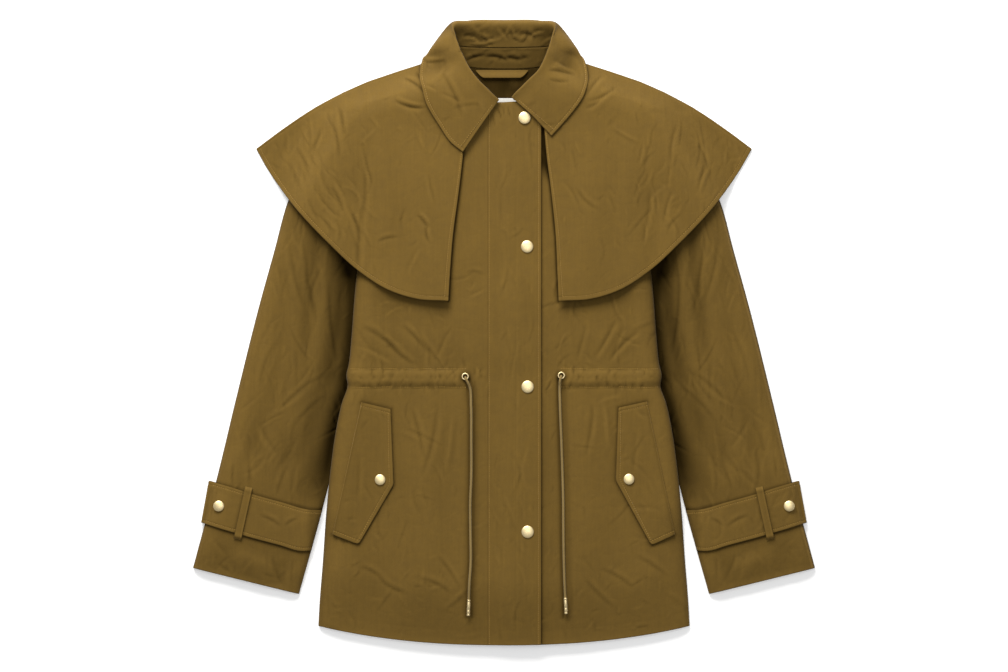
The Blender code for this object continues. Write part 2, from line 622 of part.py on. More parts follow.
half_hem = cape_hem_line(BACK_HEM, 0.0, 9)
half_neck = through([(0.0, 353.6), (40.0, 354.4), (66.0, 358.4), (88.0, 370.0)],
                    np.linspace(0.0, 1.0, 10))
cape_shoulder = through([(r.x, r.y) for r in CAPE_SHOULDER][::-1], np.linspace(0, 1, 9))
centre_back = np.stack([np.zeros(9), np.linspace(half_hem[0, 1], 353.6, 9)], -1)
cape_shoulder[0], cape_shoulder[-1] = half_hem[-1], half_neck[-1]
half_cape = coons(half_hem, half_neck, centre_back, cape_shoulder)
cape_back_plan = np.concatenate([mirrored(half_cape)[:, ::-1][:, :-1], half_cape], 1)
wall("cape_back", laid(cape_back_plan, under_cape_back), CLOTH, COTTON)

# ---------------------------------------------------------------- collar
LEAF_OVER_CAPE = CLOTH / 2 + FIRM / 2 + 1.1


def collar_sections():
    """Seven points for each section: neck seam, stand top, roll, turn, two of the fall, edge."""
    sections = []
    for row in COLLAR:
        front = row.on == "cape"
        neck = np.array([row.neck_x, row.neck_y, 0.0])
        if front:
            neck[2] = float(front_z(np.array(row.neck_x), np.array(row.neck_y))) + 1.0
        elif row.on == "side":
            neck[2] = 8.0
        else:
            neck[2] = float(back_z(np.array(row.neck_x), np.array(row.neck_y))) + 0.3
        roll = np.array([row.roll_x, row.roll_y, row.roll_z])
        stand = neck + (roll - neck) * STAND_PART + np.array([0.0, 0.0, 1.0])
        lie = []
        for x, y, extra in ((row.mid_x, row.mid_y, 1.4), (row.edge_x, row.edge_y, 0.0)):
            if front:
                z = float(cape_z(np.array(x), np.array(y)))
                dip = z - float(cape_z(np.array(x), np.array(y + 2.0)))
                z += LEAF_OVER_CAPE * math.hypot(1.0, dip / 2.0) + extra
            elif row.on == "side":
                z = 4.6 if extra else 0.9
            else:
                z = FIRM / 2 + (0.3 if extra else 0.0)
            lie.append(np.array([x, y, z]))
        mid, edge = lie
        out = roll[:2] - np.array([0.0, 352.0]) if not front else mid[:2] - roll[:2]
        out = out / np.linalg.norm(out)
        bend = roll + np.array([*(out * row.roll), -row.drop])
        if row.on == "floor":
            low = bend * 0.55 + mid * 0.45
            low[:2] += (math.copysign(4.0, roll[0]), 2.0) if abs(roll[0]) > 60.0 else (0.0, 0.0)
            low[2] = roll[2] * 0.22
        elif row.on == "side":
            low = bend * 0.4 + mid * 0.6
            low[:2] += (math.copysign(2.5, roll[0]), 1.5)
            low[2] = roll[2] * 0.5
        else:
            low = (bend + mid) / 2
        sections.append([neck, stand, roll, bend, low, mid, edge])
    return np.array(sections)


LEAF_ALONG = 34
sections = collar_sections()
turns = np.linalg.norm(np.diff(sections[:, 2], axis=0), axis=1)
turns += 0.5 * np.linalg.norm(np.diff(sections[:, 5], axis=0), axis=1)
place = np.concatenate([[0.0], np.cumsum(turns)])
place = place / place[-1]
at = np.linspace(0.0, 1.0, LEAF_ALONG + 1)
lines = [through(sections[:, k], at, place) for k in range(sections.shape[1])]

stand_grid = np.stack([lines[0], (lines[0] + lines[1]) / 2, lines[1]])
wall("collar_stand", stand_grid, FIRM, COTTON)
seam = lines[1] + (lines[2] - lines[1]) * (SEAM + 0.5) / np.linalg.norm(
    lines[2] - lines[1], axis=1)[:, None]
leaf_grid = np.stack([seam, (seam + lines[2]) / 2, lines[2], lines[3], lines[4], lines[5],
                      (lines[5] + lines[6]) / 2, lines[6]])
leaf_grid[..., 2] = np.maximum(leaf_grid[..., 2], FIRM / 2)
wall("collar_leaf", leaf_grid, FIRM, COTTON)

# ---------------------------------------------------------------- inside the neck
loop_t = np.linspace(0.0, 1.0, 9)
loop_x = -37.8 + 70.2 * loop_t
loop_ends = np.minimum(loop_t, 1.0 - loop_t)
loop_low = 353.0 - 9.6 * smooth(loop_ends / 0.14)
loop_plan = np.stack([np.stack([loop_x, loop_low - 0.6], -1),
                      np.stack([loop_x, np.full(9, 353.4)], -1)])
wall("hanger_loop", laid(loop_plan, lambda x, y: back_z(x, y) + LAP + 1.4
                         + 1.8 * smooth((352.0 - y) / 8.0)), 1.0, COTTON_INSIDE)

LABEL_X, LABEL_Y = (-22.0, 26.0), (286.0, 315.6)
label_plan = np.stack(np.meshgrid(np.linspace(*LABEL_X, 4), np.linspace(*LABEL_Y, 3)), -1)
wall("neck_label", laid(label_plan, lambda x, y: back_z(x, y) + CLOTH / 2 + 1.0), 0.6, TAPE)


# ---------------------------------------------------------------- snaps, eyelets, cords
def turned(name, profile, steps, material, ring=False):
    """A profile of (radius, height) points, outer side top to bottom, turned about Z."""
    bm = bmesh.new()
    points = [bm.verts.new((r * MM, 0.0, z * MM)) for r, z in profile]
    for a, b in zip(points, points[1:] + (points[:1] if ring else [])):
        bm.edges.new((a, b))
    mesh = bpy.data.meshes.new(name)
    bm.to_mesh(mesh)
    bm.free()
    piece = add(name, mesh, material, round_faces=False)
    screw = piece.modifiers.new("turn", "SCREW")
    screw.axis = "Z"
    screw.steps = screw.render_steps = steps
    screw.use_merge_vertices = True
    screw.merge_threshold = 0.00001
    screw.use_smooth_shade = True
    return piece


def cap_profile(across):
    """A shallow domed cap with a small rolled rim."""
    r, h = across / 2, CAP_HEIGHT
    dome = [(0.0, h)] + [(r * 0.9 * math.sin(a), 0.9 + (h - 0.9) * math.cos(a))
                         for a in (0.45, 0.85, 1.2)]
    return dome + [(r * 0.93, 0.95), (r, 0.55), (r * 0.97, 0.0), (0.0, 0.0)]


def top_under(name, x, y, reach):
    """Highest cloth face under a disc."""
    ring = np.array([(x + reach * k * math.cos(a), y + reach * k * math.sin(a))
                     for k in (0.0, 0.5, 1.0) for a in np.linspace(0, 2 * math.pi, 13)])
    px, py = ring[:, 0], ring[:, 1]
    if name.startswith("snap_front"):
        return float(np.max(placket_z(px, py))) + BAND / 2
    if name.startswith("snap_pocket"):
        return float(np.max(front_z(px, py))) + FLAP_RISE + FIRM / 2
    if name.startswith("snap_cuff"):
        limit = outline(py) - 5.0
        return float(np.max(sleeve_top_z(np.sign(px) * np.minimum(np.abs(px), limit), py))
                     ) + STRAP_RISE + FIRM / 2
    return float(np.max(front_z(px, py))) + CLOTH / 2


for snap in SNAPS:
    cap = turned(snap.name, cap_profile(snap.across), 20, BRASS)
    cap.location = Vector((snap.x, snap.y,
                           top_under(snap.name, snap.x, snap.y, snap.across / 2) + SEAM + 0.3)) * MM

for name, route in (("right", CORD_RIGHT), ("left", CORD_LEFT)):
    x, y = route[0].x, route[0].y
    rest = top_under("eyelet", x, y, EYELET_OUTER / 2) + SEAM
    mid, wire = (EYELET_OUTER - EYELET_WIRE) / 2, EYELET_WIRE / 2
    ring = [(mid + wire * math.sin(a), wire * 0.75 * (1.0 + math.cos(a)))
            for a in np.linspace(0.0, 2 * math.pi, 9)[:-1]]
    eyelet = turned("eyelet_" + name, ring, 20, BRASS, ring=True)
    eyelet.location = Vector((x, y, rest)) * MM

    points = np.array([(r.x, r.y, float(front_z(np.array(r.x), np.array(r.y)))
                        + CLOTH / 2 + CORD / 2 + r.lift) for r in route])
    points[0, 2] = rest + CORD / 2 + 0.3
    fine = through(points, np.linspace(0.0, 1.0, 44))
    curve = bpy.data.curves.new("drawcord_" + name, "CURVE")
    curve.dimensions = "3D"
    curve.bevel_depth = CORD / 2 * MM
    curve.bevel_resolution = 2
    curve.use_fill_caps = True
    spline = curve.splines.new("POLY")
    spline.points.add(len(fine) - 1)
    for point, co in zip(spline.points, fine):
        point.co = (*(Vector(co) * MM), 1.0)
    cord = bpy.data.objects.new("drawcord_" + name, curve)
    curve.materials.append(CORDING)
    parka.objects.link(cord)
    cord.parent = garment

    way = (fine[-1] - fine[-2]) / np.linalg.norm(fine[-1] - fine[-2])
    r, length = FERRULE / 2, FERRULE_LENGTH
    profile = [(0.0, length), (r - 0.5, length), (r, length - 0.5), (r, 0.5), (r - 0.5, 0.0),
               (0.0, 0.0)]
    tip = turned("ferrule_" + name, profile, 12, BRASS)
    start = fine[-1] + way * SEAM
    middle = start + way * length / 2
    floor = float(np.max(front_z(np.array([start[0], middle[0]]), start[1] - np.arange(0, 24, 12))))
    start[2] = max(start[2], floor + CLOTH / 2 + r + 0.4)
    tip.location = Vector(start) * MM
    tip.rotation_mode = "QUATERNION"
    tip.rotation_quaternion = Vector(way).to_track_quat("Z", "Y")

bpy.context.view_layer.update()
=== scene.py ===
import json
import math
from collections import namedtuple

import bpy
import numpy as np
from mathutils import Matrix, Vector

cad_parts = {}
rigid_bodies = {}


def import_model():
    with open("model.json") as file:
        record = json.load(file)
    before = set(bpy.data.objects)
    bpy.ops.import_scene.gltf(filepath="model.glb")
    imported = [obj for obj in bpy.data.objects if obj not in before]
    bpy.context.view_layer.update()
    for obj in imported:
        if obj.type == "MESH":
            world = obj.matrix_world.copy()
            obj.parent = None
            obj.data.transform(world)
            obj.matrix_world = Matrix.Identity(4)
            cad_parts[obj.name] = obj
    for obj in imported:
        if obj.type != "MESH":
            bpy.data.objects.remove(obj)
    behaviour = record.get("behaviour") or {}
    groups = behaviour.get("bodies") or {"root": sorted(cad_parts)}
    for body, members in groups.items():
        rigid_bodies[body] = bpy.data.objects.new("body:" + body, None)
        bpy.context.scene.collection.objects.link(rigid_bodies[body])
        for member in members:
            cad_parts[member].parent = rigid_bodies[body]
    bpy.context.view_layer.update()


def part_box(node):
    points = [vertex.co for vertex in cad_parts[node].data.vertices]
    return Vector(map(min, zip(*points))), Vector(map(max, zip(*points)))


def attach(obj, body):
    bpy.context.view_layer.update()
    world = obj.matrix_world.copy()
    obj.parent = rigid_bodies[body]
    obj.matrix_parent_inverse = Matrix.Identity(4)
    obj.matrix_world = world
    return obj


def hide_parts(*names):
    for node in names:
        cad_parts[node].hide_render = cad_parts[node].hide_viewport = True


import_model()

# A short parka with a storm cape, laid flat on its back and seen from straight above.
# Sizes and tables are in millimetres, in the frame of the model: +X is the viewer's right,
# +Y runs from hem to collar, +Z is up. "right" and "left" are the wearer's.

MM = 0.001

# ---------------------------------------------------------------- camera and light
scene = bpy.context.scene
scene.view_settings.view_transform = "Standard"
scene.view_settings.look = "None"

VIEW_DISTANCE = 6.0
VIEW_WIDTH = 1.3608
VIEW_CENTRE_Y = -0.005

camera_data = bpy.data.cameras.new("camera")
camera_data.sensor_fit = "HORIZONTAL"
camera_data.sensor_width = 36.0
camera_data.lens = 36.0 * VIEW_DISTANCE / VIEW_WIDTH
camera_data.clip_end = 50.0
camera = bpy.data.objects.new("camera", camera_data)
camera.location = (0.0, VIEW_CENTRE_Y, VIEW_DISTANCE)
scene.collection.objects.link(camera)
scene.camera = camera


def panel_light(name, at, aim, size, power, colour=(1.0, 1.0, 1.0)):
    data = bpy.data.lights.new(name, "AREA")
    data.shape = "RECTANGLE"
    data.size, data.size_y = size
    data.energy = power
    data.color = colour
    lamp = bpy.data.objects.new(name, data)
    lamp.location = at
    lamp.rotation_euler = (Vector(aim) - Vector(at)).to_track_quat("-Z", "Y").to_euler()
    scene.collection.objects.link(lamp)
    return lamp


panel_light("key", (-0.62, 2.4, 1.75), (0.0, 0.0, 0.0), (1.7, 1.3), 150.0, (1.0, 0.985, 0.95))
panel_light("fill", (0.2, 0.1, 3.0), (0.0, 0.0, 0.0), (1.6, 1.6), 26.0, (0.98, 0.99, 1.0))

world = bpy.data.worlds.new("studio")
world.use_nodes = True
world.node_tree.nodes["Background"].inputs["Color"].default_value = (1.0, 1.0, 1.0, 1.0)
world.node_tree.nodes["Background"].inputs["Strength"].default_value = 0.34
scene.world = world

# ---------------------------------------------------------------- driving sizes
CLOTH = 1.3
FIRM = 1.6
BAND = 2.0
SEAM = 0.3
LAP = CLOTH + SEAM

LENGTH_BELOW = 421.6
HEM_SWEEP = 25.5
HEM_HALF = 250.0
HEM_POWER = 2.3

PLACKET_SEAM = -21.6
PLACKET_EDGE = 50.0
UNDERLAP_EDGE = 16.0
PLACKET_STEP = 2.3

LOFT = 12.0
CROWN = 9.0
CROWN_REACH = 170.0
SIDE_ROUND = 26.0
SLEEVE_LOFT = 11.0
SLEEVE_ROUND = 24.0
SHOULDER_RAMP = 55.0
SLEEVE_TUCK = 60.0
SIDE_LIFT = 6.4
SIDE_LIFT_REACH = 62.0

NECK_CENTRE_Y = 347.0
CAPE_STANDOFF = 4.4
CAPE_FLARE = 5.6
FALL_RISE = 2.2

CASING_Y = -59.0
CASING_HALF = 17.0
CASING_RISE = 1.8

CAP_FRONT = 16.8
CAP_SMALL = 14.6
CAP_HEIGHT = 2.6
EYELET_OUTER = 9.8
EYELET_WIRE = 1.9
CORD = 3.5
FERRULE = 4.8
FERRULE_LENGTH = 22.0


def table(columns, *rows):
    Row = namedtuple("Row", columns)
    return [Row(*row) for row in rows]


SIDE = table("y half",
             (-396.1, 250.0), (-375.0, 249.0), (-307.0, 243.8), (-251.0, 239.8),
             (-179.0, 232.6), (-137.0, 226.8), (-94.0, 217.6), (-72.0, 210.4),
             (-58.0, 212.0), (-44.0, 209.0), (-10.0, 205.4), (44.0, 201.2),
             (86.0, 197.4))

ARMHOLE = table("y half",
                (86.0, 197.4), (125.0, 189.5), (175.0, 187.0), (230.0, 192.0),
                (280.0, 202.0), (314.0, 209.0))

FRONT_NECK = table("x y", (0.0, 309.6), (12.0, 309.9), (40.0, 315.2), (64.0, 329.0),
                   (80.0, 349.0), (84.0, 366.0))

BACK_NECK = table("x y", (0.0, 354.6), (40.0, 355.6), (66.0, 359.5), (84.0, 366.0))

OUTER = table("y half",
              (-317.9, 419.2), (-199.4, 387.5), (-91.4, 361.6), (43.6, 327.8),
              (111.1, 309.0), (178.6, 290.0), (222.0, 270.0), (262.0, 247.0),
              (296.0, 225.0), (314.0, 209.0), (338.0, 158.0), (366.0, 84.0))

INNER = table("y half",
              (-352.9, 277.0), (-295.2, 260.6), (-239.9, 245.6), (-199.4, 234.8),
              (-158.9, 223.2), (-91.4, 206.6), (-23.9, 196.0), (30.0, 193.0),
              (60.0, 197.6), (86.0, 197.7))

CAPE_HEM = table("degrees radius",
                 (0.0, 324.0), (13.6, 314.0), (20.8, 323.6), (28.1, 329.0), (36.7, 328.8),
                 (45.9, 327.6), (60.0, 335.0), (73.5, 348.5))

BACK_HEM = table("degrees radius",
                 (0.0, 322.0), (10.0, 322.3), (20.8, 324.4), (28.1, 327.4), (36.7, 328.2),
                 (45.9, 327.6), (60.0, 335.0), (73.5, 348.5))

CAPE_SHOULDER = table("x y", (88.0, 370.0), (110.7, 362.2), (144.5, 351.4), (183.6, 338.0),
                      (216.0, 323.6), (255.2, 303.0), (300.0, 273.2), (334.4, 247.6))

CAPE_EDGE = table("y right left", (42.8, 74.6, 73.2), (79.5, 72.5, 71.6), (129.0, 68.6, 69.4),
                  (188.5, 60.8, 63.4), (240.0, 54.8, 57.0), (276.0, 51.6, 54.0),
                  (306.0, 49.0, 52.4))

COLLAR = table("neck_x neck_y roll_x roll_y roll_z roll drop mid_x mid_y edge_x edge_y on",
               (-10.0, 311.4, -6.8, 311.9, 35.0, 2.0, 0.6, -31.0, 277.2, -55.2, 242.1, "cape"),
               (-16.0, 312.4, -12.6, 317.0, 36.6, 2.4, 0.6, -41.0, 287.4, -70.0, 253.6, "cape"),
               (-31.0, 315.2, -22.5, 327.0, 37.6, 2.8, 0.6, -56.0, 305.0, -88.0, 279.0, "cape"),
               (-49.0, 321.8, -34.4, 338.8, 38.0, 3.0, 0.6, -70.0, 322.0, -103.0, 304.0, "cape"),
               (-65.5, 334.0, -47.0, 355.6, 36.5, 3.0, 0.8, -80.0, 343.0, -110.0, 328.0, "cape"),
               (-76.6, 349.8, -56.0, 373.0, 34.0, 3.2, 1.2, -88.0, 362.0, -113.6, 346.0, "cape"),
               (-81.2, 358.4, -61.4, 385.0, 32.0, 3.3, 1.6, -93.0, 373.0, -111.6, 361.4, "cape"),
               (-84.6, 368.0, -65.0, 397.0, 28.0, 3.4, 3.0, -101.6, 377.0, -107.4, 370.0, "side"),
               (-70.0, 363.0, -68.4, 411.2, 22.0, 3.4, 6.0, -97.0, 377.0, -99.0, 352.0, "floor"),
               (-44.0, 357.6, -46.0, 417.2, 17.0, 2.8, 6.4, -54.0, 396.0, -58.0, 346.0, "floor"),
               (0.0, 355.4, 0.0, 417.8, 15.0, 2.6, 6.4, 0.0, 396.0, 0.0, 345.0, "floor"),
               (44.0, 357.6, 46.0, 417.2, 17.0, 2.8, 6.4, 54.0, 396.0, 58.0, 346.0, "floor"),
               (70.0, 363.0, 68.2, 410.8, 22.0, 3.4, 6.0, 97.0, 377.0, 99.0, 352.0, "floor"),
               (84.6, 368.0, 64.4, 396.4, 28.0, 3.4, 3.0, 100.6, 377.0, 105.4, 369.6, "side"),
               (81.2, 358.4, 60.8, 383.0, 32.0, 3.3, 1.6, 92.0, 372.0, 110.4, 360.6, "cape"),
               (76.6, 349.8, 55.6, 370.0, 34.0, 3.2, 1.2, 88.0, 359.0, 113.0, 344.0, "cape"),
               (65.5, 334.0, 46.6, 352.8, 36.5, 3.0, 0.8, 80.0, 340.0, 109.4, 324.0, "cape"),
               (51.0, 322.6, 33.0, 339.0, 38.0, 3.0, 0.6, 69.0, 322.0, 102.0, 309.0, "cape"),
               (34.0, 316.0, 23.0, 329.0, 37.6, 2.8, 0.6, 56.0, 309.0, 89.0, 292.0, "cape"),
               (20.0, 313.0, 14.6, 320.6, 36.6, 2.4, 0.6, 46.0, 297.0, 76.0, 277.0, "cape"),
               (13.6, 312.0, 10.4, 315.4, 35.0, 2.0, 0.6, 38.0, 290.6, 63.8, 263.6, "cape"))
STAND_PART = 0.44

FLAP_RIGHT = table("x y", (-191.7, -94.1), (-152.5, -103.5), (-148.5, -204.8), (-195.7, -285.8),
                   (-230.8, -272.3))
FLAP_LEFT = table("x y", (192.1, -93.0), (153.9, -101.5), (150.3, -199.4), (198.2, -286.9),
                  (230.0, -272.3))

SNAPS = table("name x y across", ("snap_front_1", 27.6, 288.2, CAP_FRONT),
              ("snap_front_2", 31.0, 115.2, CAP_FRONT), ("snap_front_3", 31.7, -73.2, CAP_FRONT),
              ("snap_front_4", 31.7, -268.2, CAP_FRONT),
              ("snap_pocket_right", -166.7, -198.3, CAP_SMALL),
              ("snap_pocket_left", 168.1, -197.6, CAP_SMALL),
              ("snap_cuff_right", -383.9, -233.8, CAP_SMALL),
              ("snap_cuff_left", 383.8, -233.8, CAP_SMALL))

CORD_RIGHT = table("x y lift", (-52.2, -59.4, 0.4), (-51.4, -62.0, 3.0), (-49.2, -66.4, 3.6),
                   (-46.4, -72.6, 1.8), (-44.2, -99.5, 1.1), (-43.9, -140.0, 0.7),
                   (-44.0, -198.0, 0.7), (-45.2, -226.4, 0.7), (-45.0, -270.0, 0.7),
                   (-44.6, -308.7, 0.7), (-46.6, -340.0, 0.3), (-47.3, -360.6, 0.5))
CORD_LEFT = table("x y lift", (77.1, -58.0, 0.4), (76.4, -60.4, 3.0), (75.4, -64.6, 3.6),
                  (75.0, -71.0, 1.8), (75.4, -98.1, 1.3), (77.2, -145.0, 0.7),
                  (79.0, -199.4, 0.7), (79.7, -226.4, 0.7), (79.9, -262.0, 0.7),
                  (80.3, -295.2, 0.7), (81.4, -335.0, 0.3), (82.5, -358.0, 0.5))

STRAP_TOP = table("x y", (245.2, -239.6), (262.0, -238.9), (300.0, -228.6), (336.0, -218.6),
                  (368.0, -208.4), (396.2, -200.6))
STRAP_BOTTOM = table("x y", (260.4, -294.4), (274.0, -294.6), (302.0, -286.8), (336.0, -277.8),
                     (366.0, -269.2), (406.4, -257.0))
STRAP_RISE = CLOTH / 2 + FIRM / 2 + 0.7
LOOP_TOP, LOOP_BOTTOM, LOOP_WIDTH = (344.2, -212.4), (358.0, -274.8), 10.4
LOOP_RISE = STRAP_RISE + FIRM / 2 + CLOTH / 2 + 0.5
LOOP_END = CLOTH + 0.7
FLAP_RISE = CLOTH / 2 + FIRM / 2 + 0.8
LEAF_OVER_CAPE = CLOTH / 2 + FIRM / 2 + 1.1
LABEL_X, LABEL_Y = (-22.0, 26.0), (286.0, 315.6)


# ---------------------------------------------------------------- small mathematics
def smooth(q):
    q = np.clip(q, 0.0, 1.0)
    return q * q * (3.0 - 2.0 * q)


def turn(q):
    q = np.clip(q, 0.0, 1.0)
    return np.sqrt(np.maximum(0.0, 1.0 - (1.0 - q) ** 2))


def soft_curve(keys, values, at):
    keys, values, at = np.asarray(keys, float), np.asarray(values, float), np.asarray(at, float)
    slope = np.gradient(values, keys)
    i = np.clip(np.searchsorted(keys, at) - 1, 0, len(keys) - 2)
    h = keys[i + 1] - keys[i]
    q = np.clip((at - keys[i]) / h, 0.0, 1.0)
    return ((2 * q**3 - 3 * q**2 + 1) * values[i] + (q**3 - 2 * q**2 + q) * h * slope[i]
            + (3 * q**2 - 2 * q**3) * values[i + 1] + (q**3 - q**2) * h * slope[i + 1])


def column(rows, name):
    return np.array([getattr(row, name) for row in rows], float)


def half_at(rows, y):
    return soft_curve(column(rows, "y"), column(rows, "half"), y)


def through(points, params, keys=None):
    points = np.asarray(points, float)
    if keys is None:
        keys = np.concatenate([[0.0], np.cumsum(np.linalg.norm(np.diff(points, axis=0), axis=1))])
        keys = keys / keys[-1]
    return np.stack([soft_curve(keys, points[:, k], params) for k in range(points.shape[1])], -1)


def share(points):
    run = np.concatenate([[0.0], np.cumsum(np.linalg.norm(np.diff(points, axis=0), axis=1))])
    return run / run[-1]


def length_of(points):
    return float(np.linalg.norm(np.diff(np.asarray(points, float), axis=0), axis=1).sum())


def resample(points, shares):
    """Points along a dense line at shares of its length."""
    points = np.asarray(points, float)
    run = share(points)
    return np.stack([np.interp(shares, run, points[:, k]) for k in range(points.shape[1])], -1)


def coons(bottom, top, left, right):
    s = np.broadcast_to(share(bottom)[None, :, None], (len(left), len(bottom), 1))
    t = share(left)[:, None, None]
    s = (1 - t) * share(bottom)[None, :, None] + t * share(top)[None, :, None]
    t = (1 - s) * share(left)[:, None, None] + s * share(right)[:, None, None]
    ruled = ((1 - t) * bottom[None] + t * top[None] + (1 - s) * left[:, None] + s * right[:, None])
    corner = ((1 - s) * (1 - t) * bottom[0] + s * (1 - t) * bottom[-1]
              + (1 - s) * t * top[0] + s * t * top[-1])
    return ruled - corner


def marks(length, step, first=(), last=()):
    """Shares from 0 to 1 of a length: chosen distances from its ends, even steps between."""
    a = [0.0] + [m for m in first if m < 0.4 * length]
    b = [0.0] + [m for m in last if m < 0.4 * length]
    count = max(1, int(round((length - a[-1] - b[-1]) / step)))
    middle = np.linspace(a[-1], length - b[-1], count + 1)
    return np.concatenate([a[:-1], middle, length - np.array(b[:-1])[::-1]]) / length


PLAIN = (0.22, 0.7, 1.6)                    # rows along a plain edge


def sewn(inset):
    """Rows along an edge that has a stitch line this far in."""
    return (0.22, 0.7, inset * 0.42, inset - 1.3, inset - 0.55, inset, inset + 0.55,
            inset + 1.3, inset + 2.8)


# ---------------------------------------------------------------- heights of the layers
def hem_y(x):
    return -LENGTH_BELOW + HEM_SWEEP * (np.abs(x) / HEM_HALF) ** HEM_POWER


def outline(y):
    return half_at(OUTER, y)


def inside_outline(x, y):
    slope = (outline(y + 1.0) - outline(y - 1.0)) / 2.0
    return (outline(y) - np.abs(x)) / np.sqrt(1.0 + slope**2)


def edge_rise(e, y):
    k = smooth((y - 200.0) / 110.0)
    ramp = np.sin(np.clip(e / SHOULDER_RAMP, 0.0, 1.0) * math.pi / 2)
    return (1.0 - k) * turn(e / SLEEVE_ROUND) + k * ramp


def cape_reach(x, y):
    angle = np.degrees(np.arctan2(np.abs(x), NECK_CENTRE_Y - y))
    radius = np.interp(angle, column(CAPE_HEM, "degrees"), column(CAPE_HEM, "radius"))
    return np.hypot(x, NECK_CENTRE_Y - y) - radius


def under_cape_back(x, y):
    rise = smooth((y - 266.0) / 58.0) * (1.0 - smooth((np.abs(x) - 128.0) / 42.0))
    return CLOTH / 2 + FALL_RISE * rise


def back_z(x, y):
    over = 1.0 - smooth((cape_reach(x, y) - 44.0) / 44.0)
    return under_cape_back(x, y) + (LAP + 0.5) * over


def side_lift(x, y):
    inside = half_at(SIDE, np.minimum(y, 86.0)) - np.abs(x)
    along = smooth((y + 290.0) / 58.0) * (1.0 - smooth((y - 52.0) / 58.0))
    return SIDE_LIFT * along * smooth(1.0 - inside / SIDE_LIFT_REACH)


def body_back_z(x, y):
    return back_z(x, y) + side_lift(x, y)


def fullness(x, y):
    ends = 0.52 + 0.48 * smooth((y - hem_y(x)) / 90.0)
    return (LOFT + CROWN * np.exp(-(x / CROWN_REACH) ** 2)) * ends


def crease_at_side(y):
    return smooth((120.0 - y) / 46.0)


def casing(x, y):
    inner = np.where(np.asarray(x) < 0, 50.0, 75.0)
    across = smooth((np.abs(x) - inner) / 10.0 + 0.5)
    return CASING_RISE * across * smooth(1.0 - np.abs(y - CASING_Y) / CASING_HALF)


def front_z(x, y):
    inside = half_at(SIDE, np.minimum(y, 86.0)) - np.abs(x)
    closing = 1.0 - crease_at_side(y) * (1.0 - turn(inside / SIDE_ROUND))
    level = np.clip(y, 60.0, 366.0)
    above = edge_rise(inside_outline(x, level), level)
    return (body_back_z(x, y) + LAP + fullness(x, y) * closing * above
            + casing(x, y) * closing)


def sleeve_z(x, y):
    inner = np.abs(x) - half_at(INNER, np.clip(y, -352.9, 86.0))
    tuck = 1.0 - crease_at_side(y) * (1.0 - smooth(inner / SLEEVE_TUCK))
    free = smooth((-196.0 - y) / 60.0)
    tuck = tuck * (1.0 - free) + turn(inner / 22.0) * free
    cuff = 0.72 + 0.28 * smooth((y + 340.0) / 120.0)
    blend = smooth((y - 40.0) / 120.0)
    air = SLEEVE_LOFT * cuff * (1.0 - blend) + (LOFT + CROWN * np.exp(-(x / CROWN_REACH) ** 2)) * blend
    return back_z(x, y) + LAP + air * tuck * edge_rise(inside_outline(x, y), y)


def placket_rise(x):
    return PLACKET_STEP * smooth((x - PLACKET_SEAM) / 36.0)


def shoulder_distance(x, y):
    ex, ey = column(CAPE_SHOULDER, "x"), column(CAPE_SHOULDER, "y")
    line = np.interp(np.abs(x), ex, ey)
    slope = np.interp(np.abs(x) + 1.0, ex, ey) - line
    return (line - y) / np.sqrt(1.0 + slope**2)


def cape_z(x, y):
    edge = inside_outline(x, np.clip(y, -300.0, 366.0))
    tent = smooth((edge + 40.0) / 66.0)
    out = np.clip((cape_reach(x, y) + 330.0) / 330.0, 0.0, 1.0)
    air = LOFT + CROWN * np.exp(-(x / CROWN_REACH) ** 2) + CAPE_STANDOFF + CAPE_FLARE * out**1.6
    valley = 2.6 * np.exp(-((np.abs(x) - 198.0) / 17.0) ** 2) * smooth((240.0 - y) / 70.0)
    d = shoulder_distance(x, y)
    near = smooth((300.0 - np.abs(x)) / 160.0)
    bent = (1.0 - near) * turn(d / 20.0) + near * np.sin(np.clip(d / 48.0, 0.0, 1.0) * math.pi / 2)
    base = back_z(x, y) * tent + under_cape_back(x, y) * (1.0 - tent)
    return base + LAP + (air * tent - valley) * bent


cuff_outer = np.array([OUTER[0].half, OUTER[0].y])
cuff_inner = np.array([INNER[0].half, INNER[0].y])


def above_cuff(x, y):
    along = (np.abs(x) - cuff_inner[0]) / (cuff_outer[0] - cuff_inner[0])
    return y - (cuff_inner[1] + (cuff_outer[1] - cuff_inner[1]) * along)


def strap_zone(x, y):
    up = above_cuff(x, y)
    return smooth((up - 4.0) / 30.0) * (1.0 - smooth((up - 142.0) / 46.0))


# ---------------------------------------------------------------- creases and swells
# A crease runs from (x0, y0) to (x1, y1), bowed sideways by "bow" at its middle. "width" is
# its half width and "depth" its height, negative for a trough; "side" is the size of the
# softer wave beside it.
CREASE_COLUMNS = "x0 y0 x1 y1 bow width depth side"
CREASE_DEEP = 2.3            # every crease's depth is scaled by this
SWELL_DEEP = 1.5


def creased(x, y, rows):
    z = np.zeros_like(x, dtype=float)
    for r in rows:
        dx, dy = r.x1 - r.x0, r.y1 - r.y0
        run = math.hypot(dx, dy)
        reach = 4.6 * r.width + abs(r.bow)
        near = ((x > min(r.x0, r.x1) - reach) & (x < max(r.x0, r.x1) + reach)
                & (y > min(r.y0, r.y1) - reach) & (y < max(r.y0, r.y1) + reach))
        if not near.any():
            continue
        px, py = x[near] - r.x0, y[near] - r.y0
        u = (px * dx + py * dy) / run / run
        s = ((py * dx - px * dy) / run - 4.0 * r.bow * u * (1.0 - u)) / r.width
        fade = np.sin(math.pi * np.clip(u, 0.0, 1.0)) ** 0.75
        z[near] += r.depth * fade * (np.exp(-np.abs(s) ** 1.5) - r.side * np.exp(-((s - 1.8) / 1.35) ** 2))
    return z * CREASE_DEEP


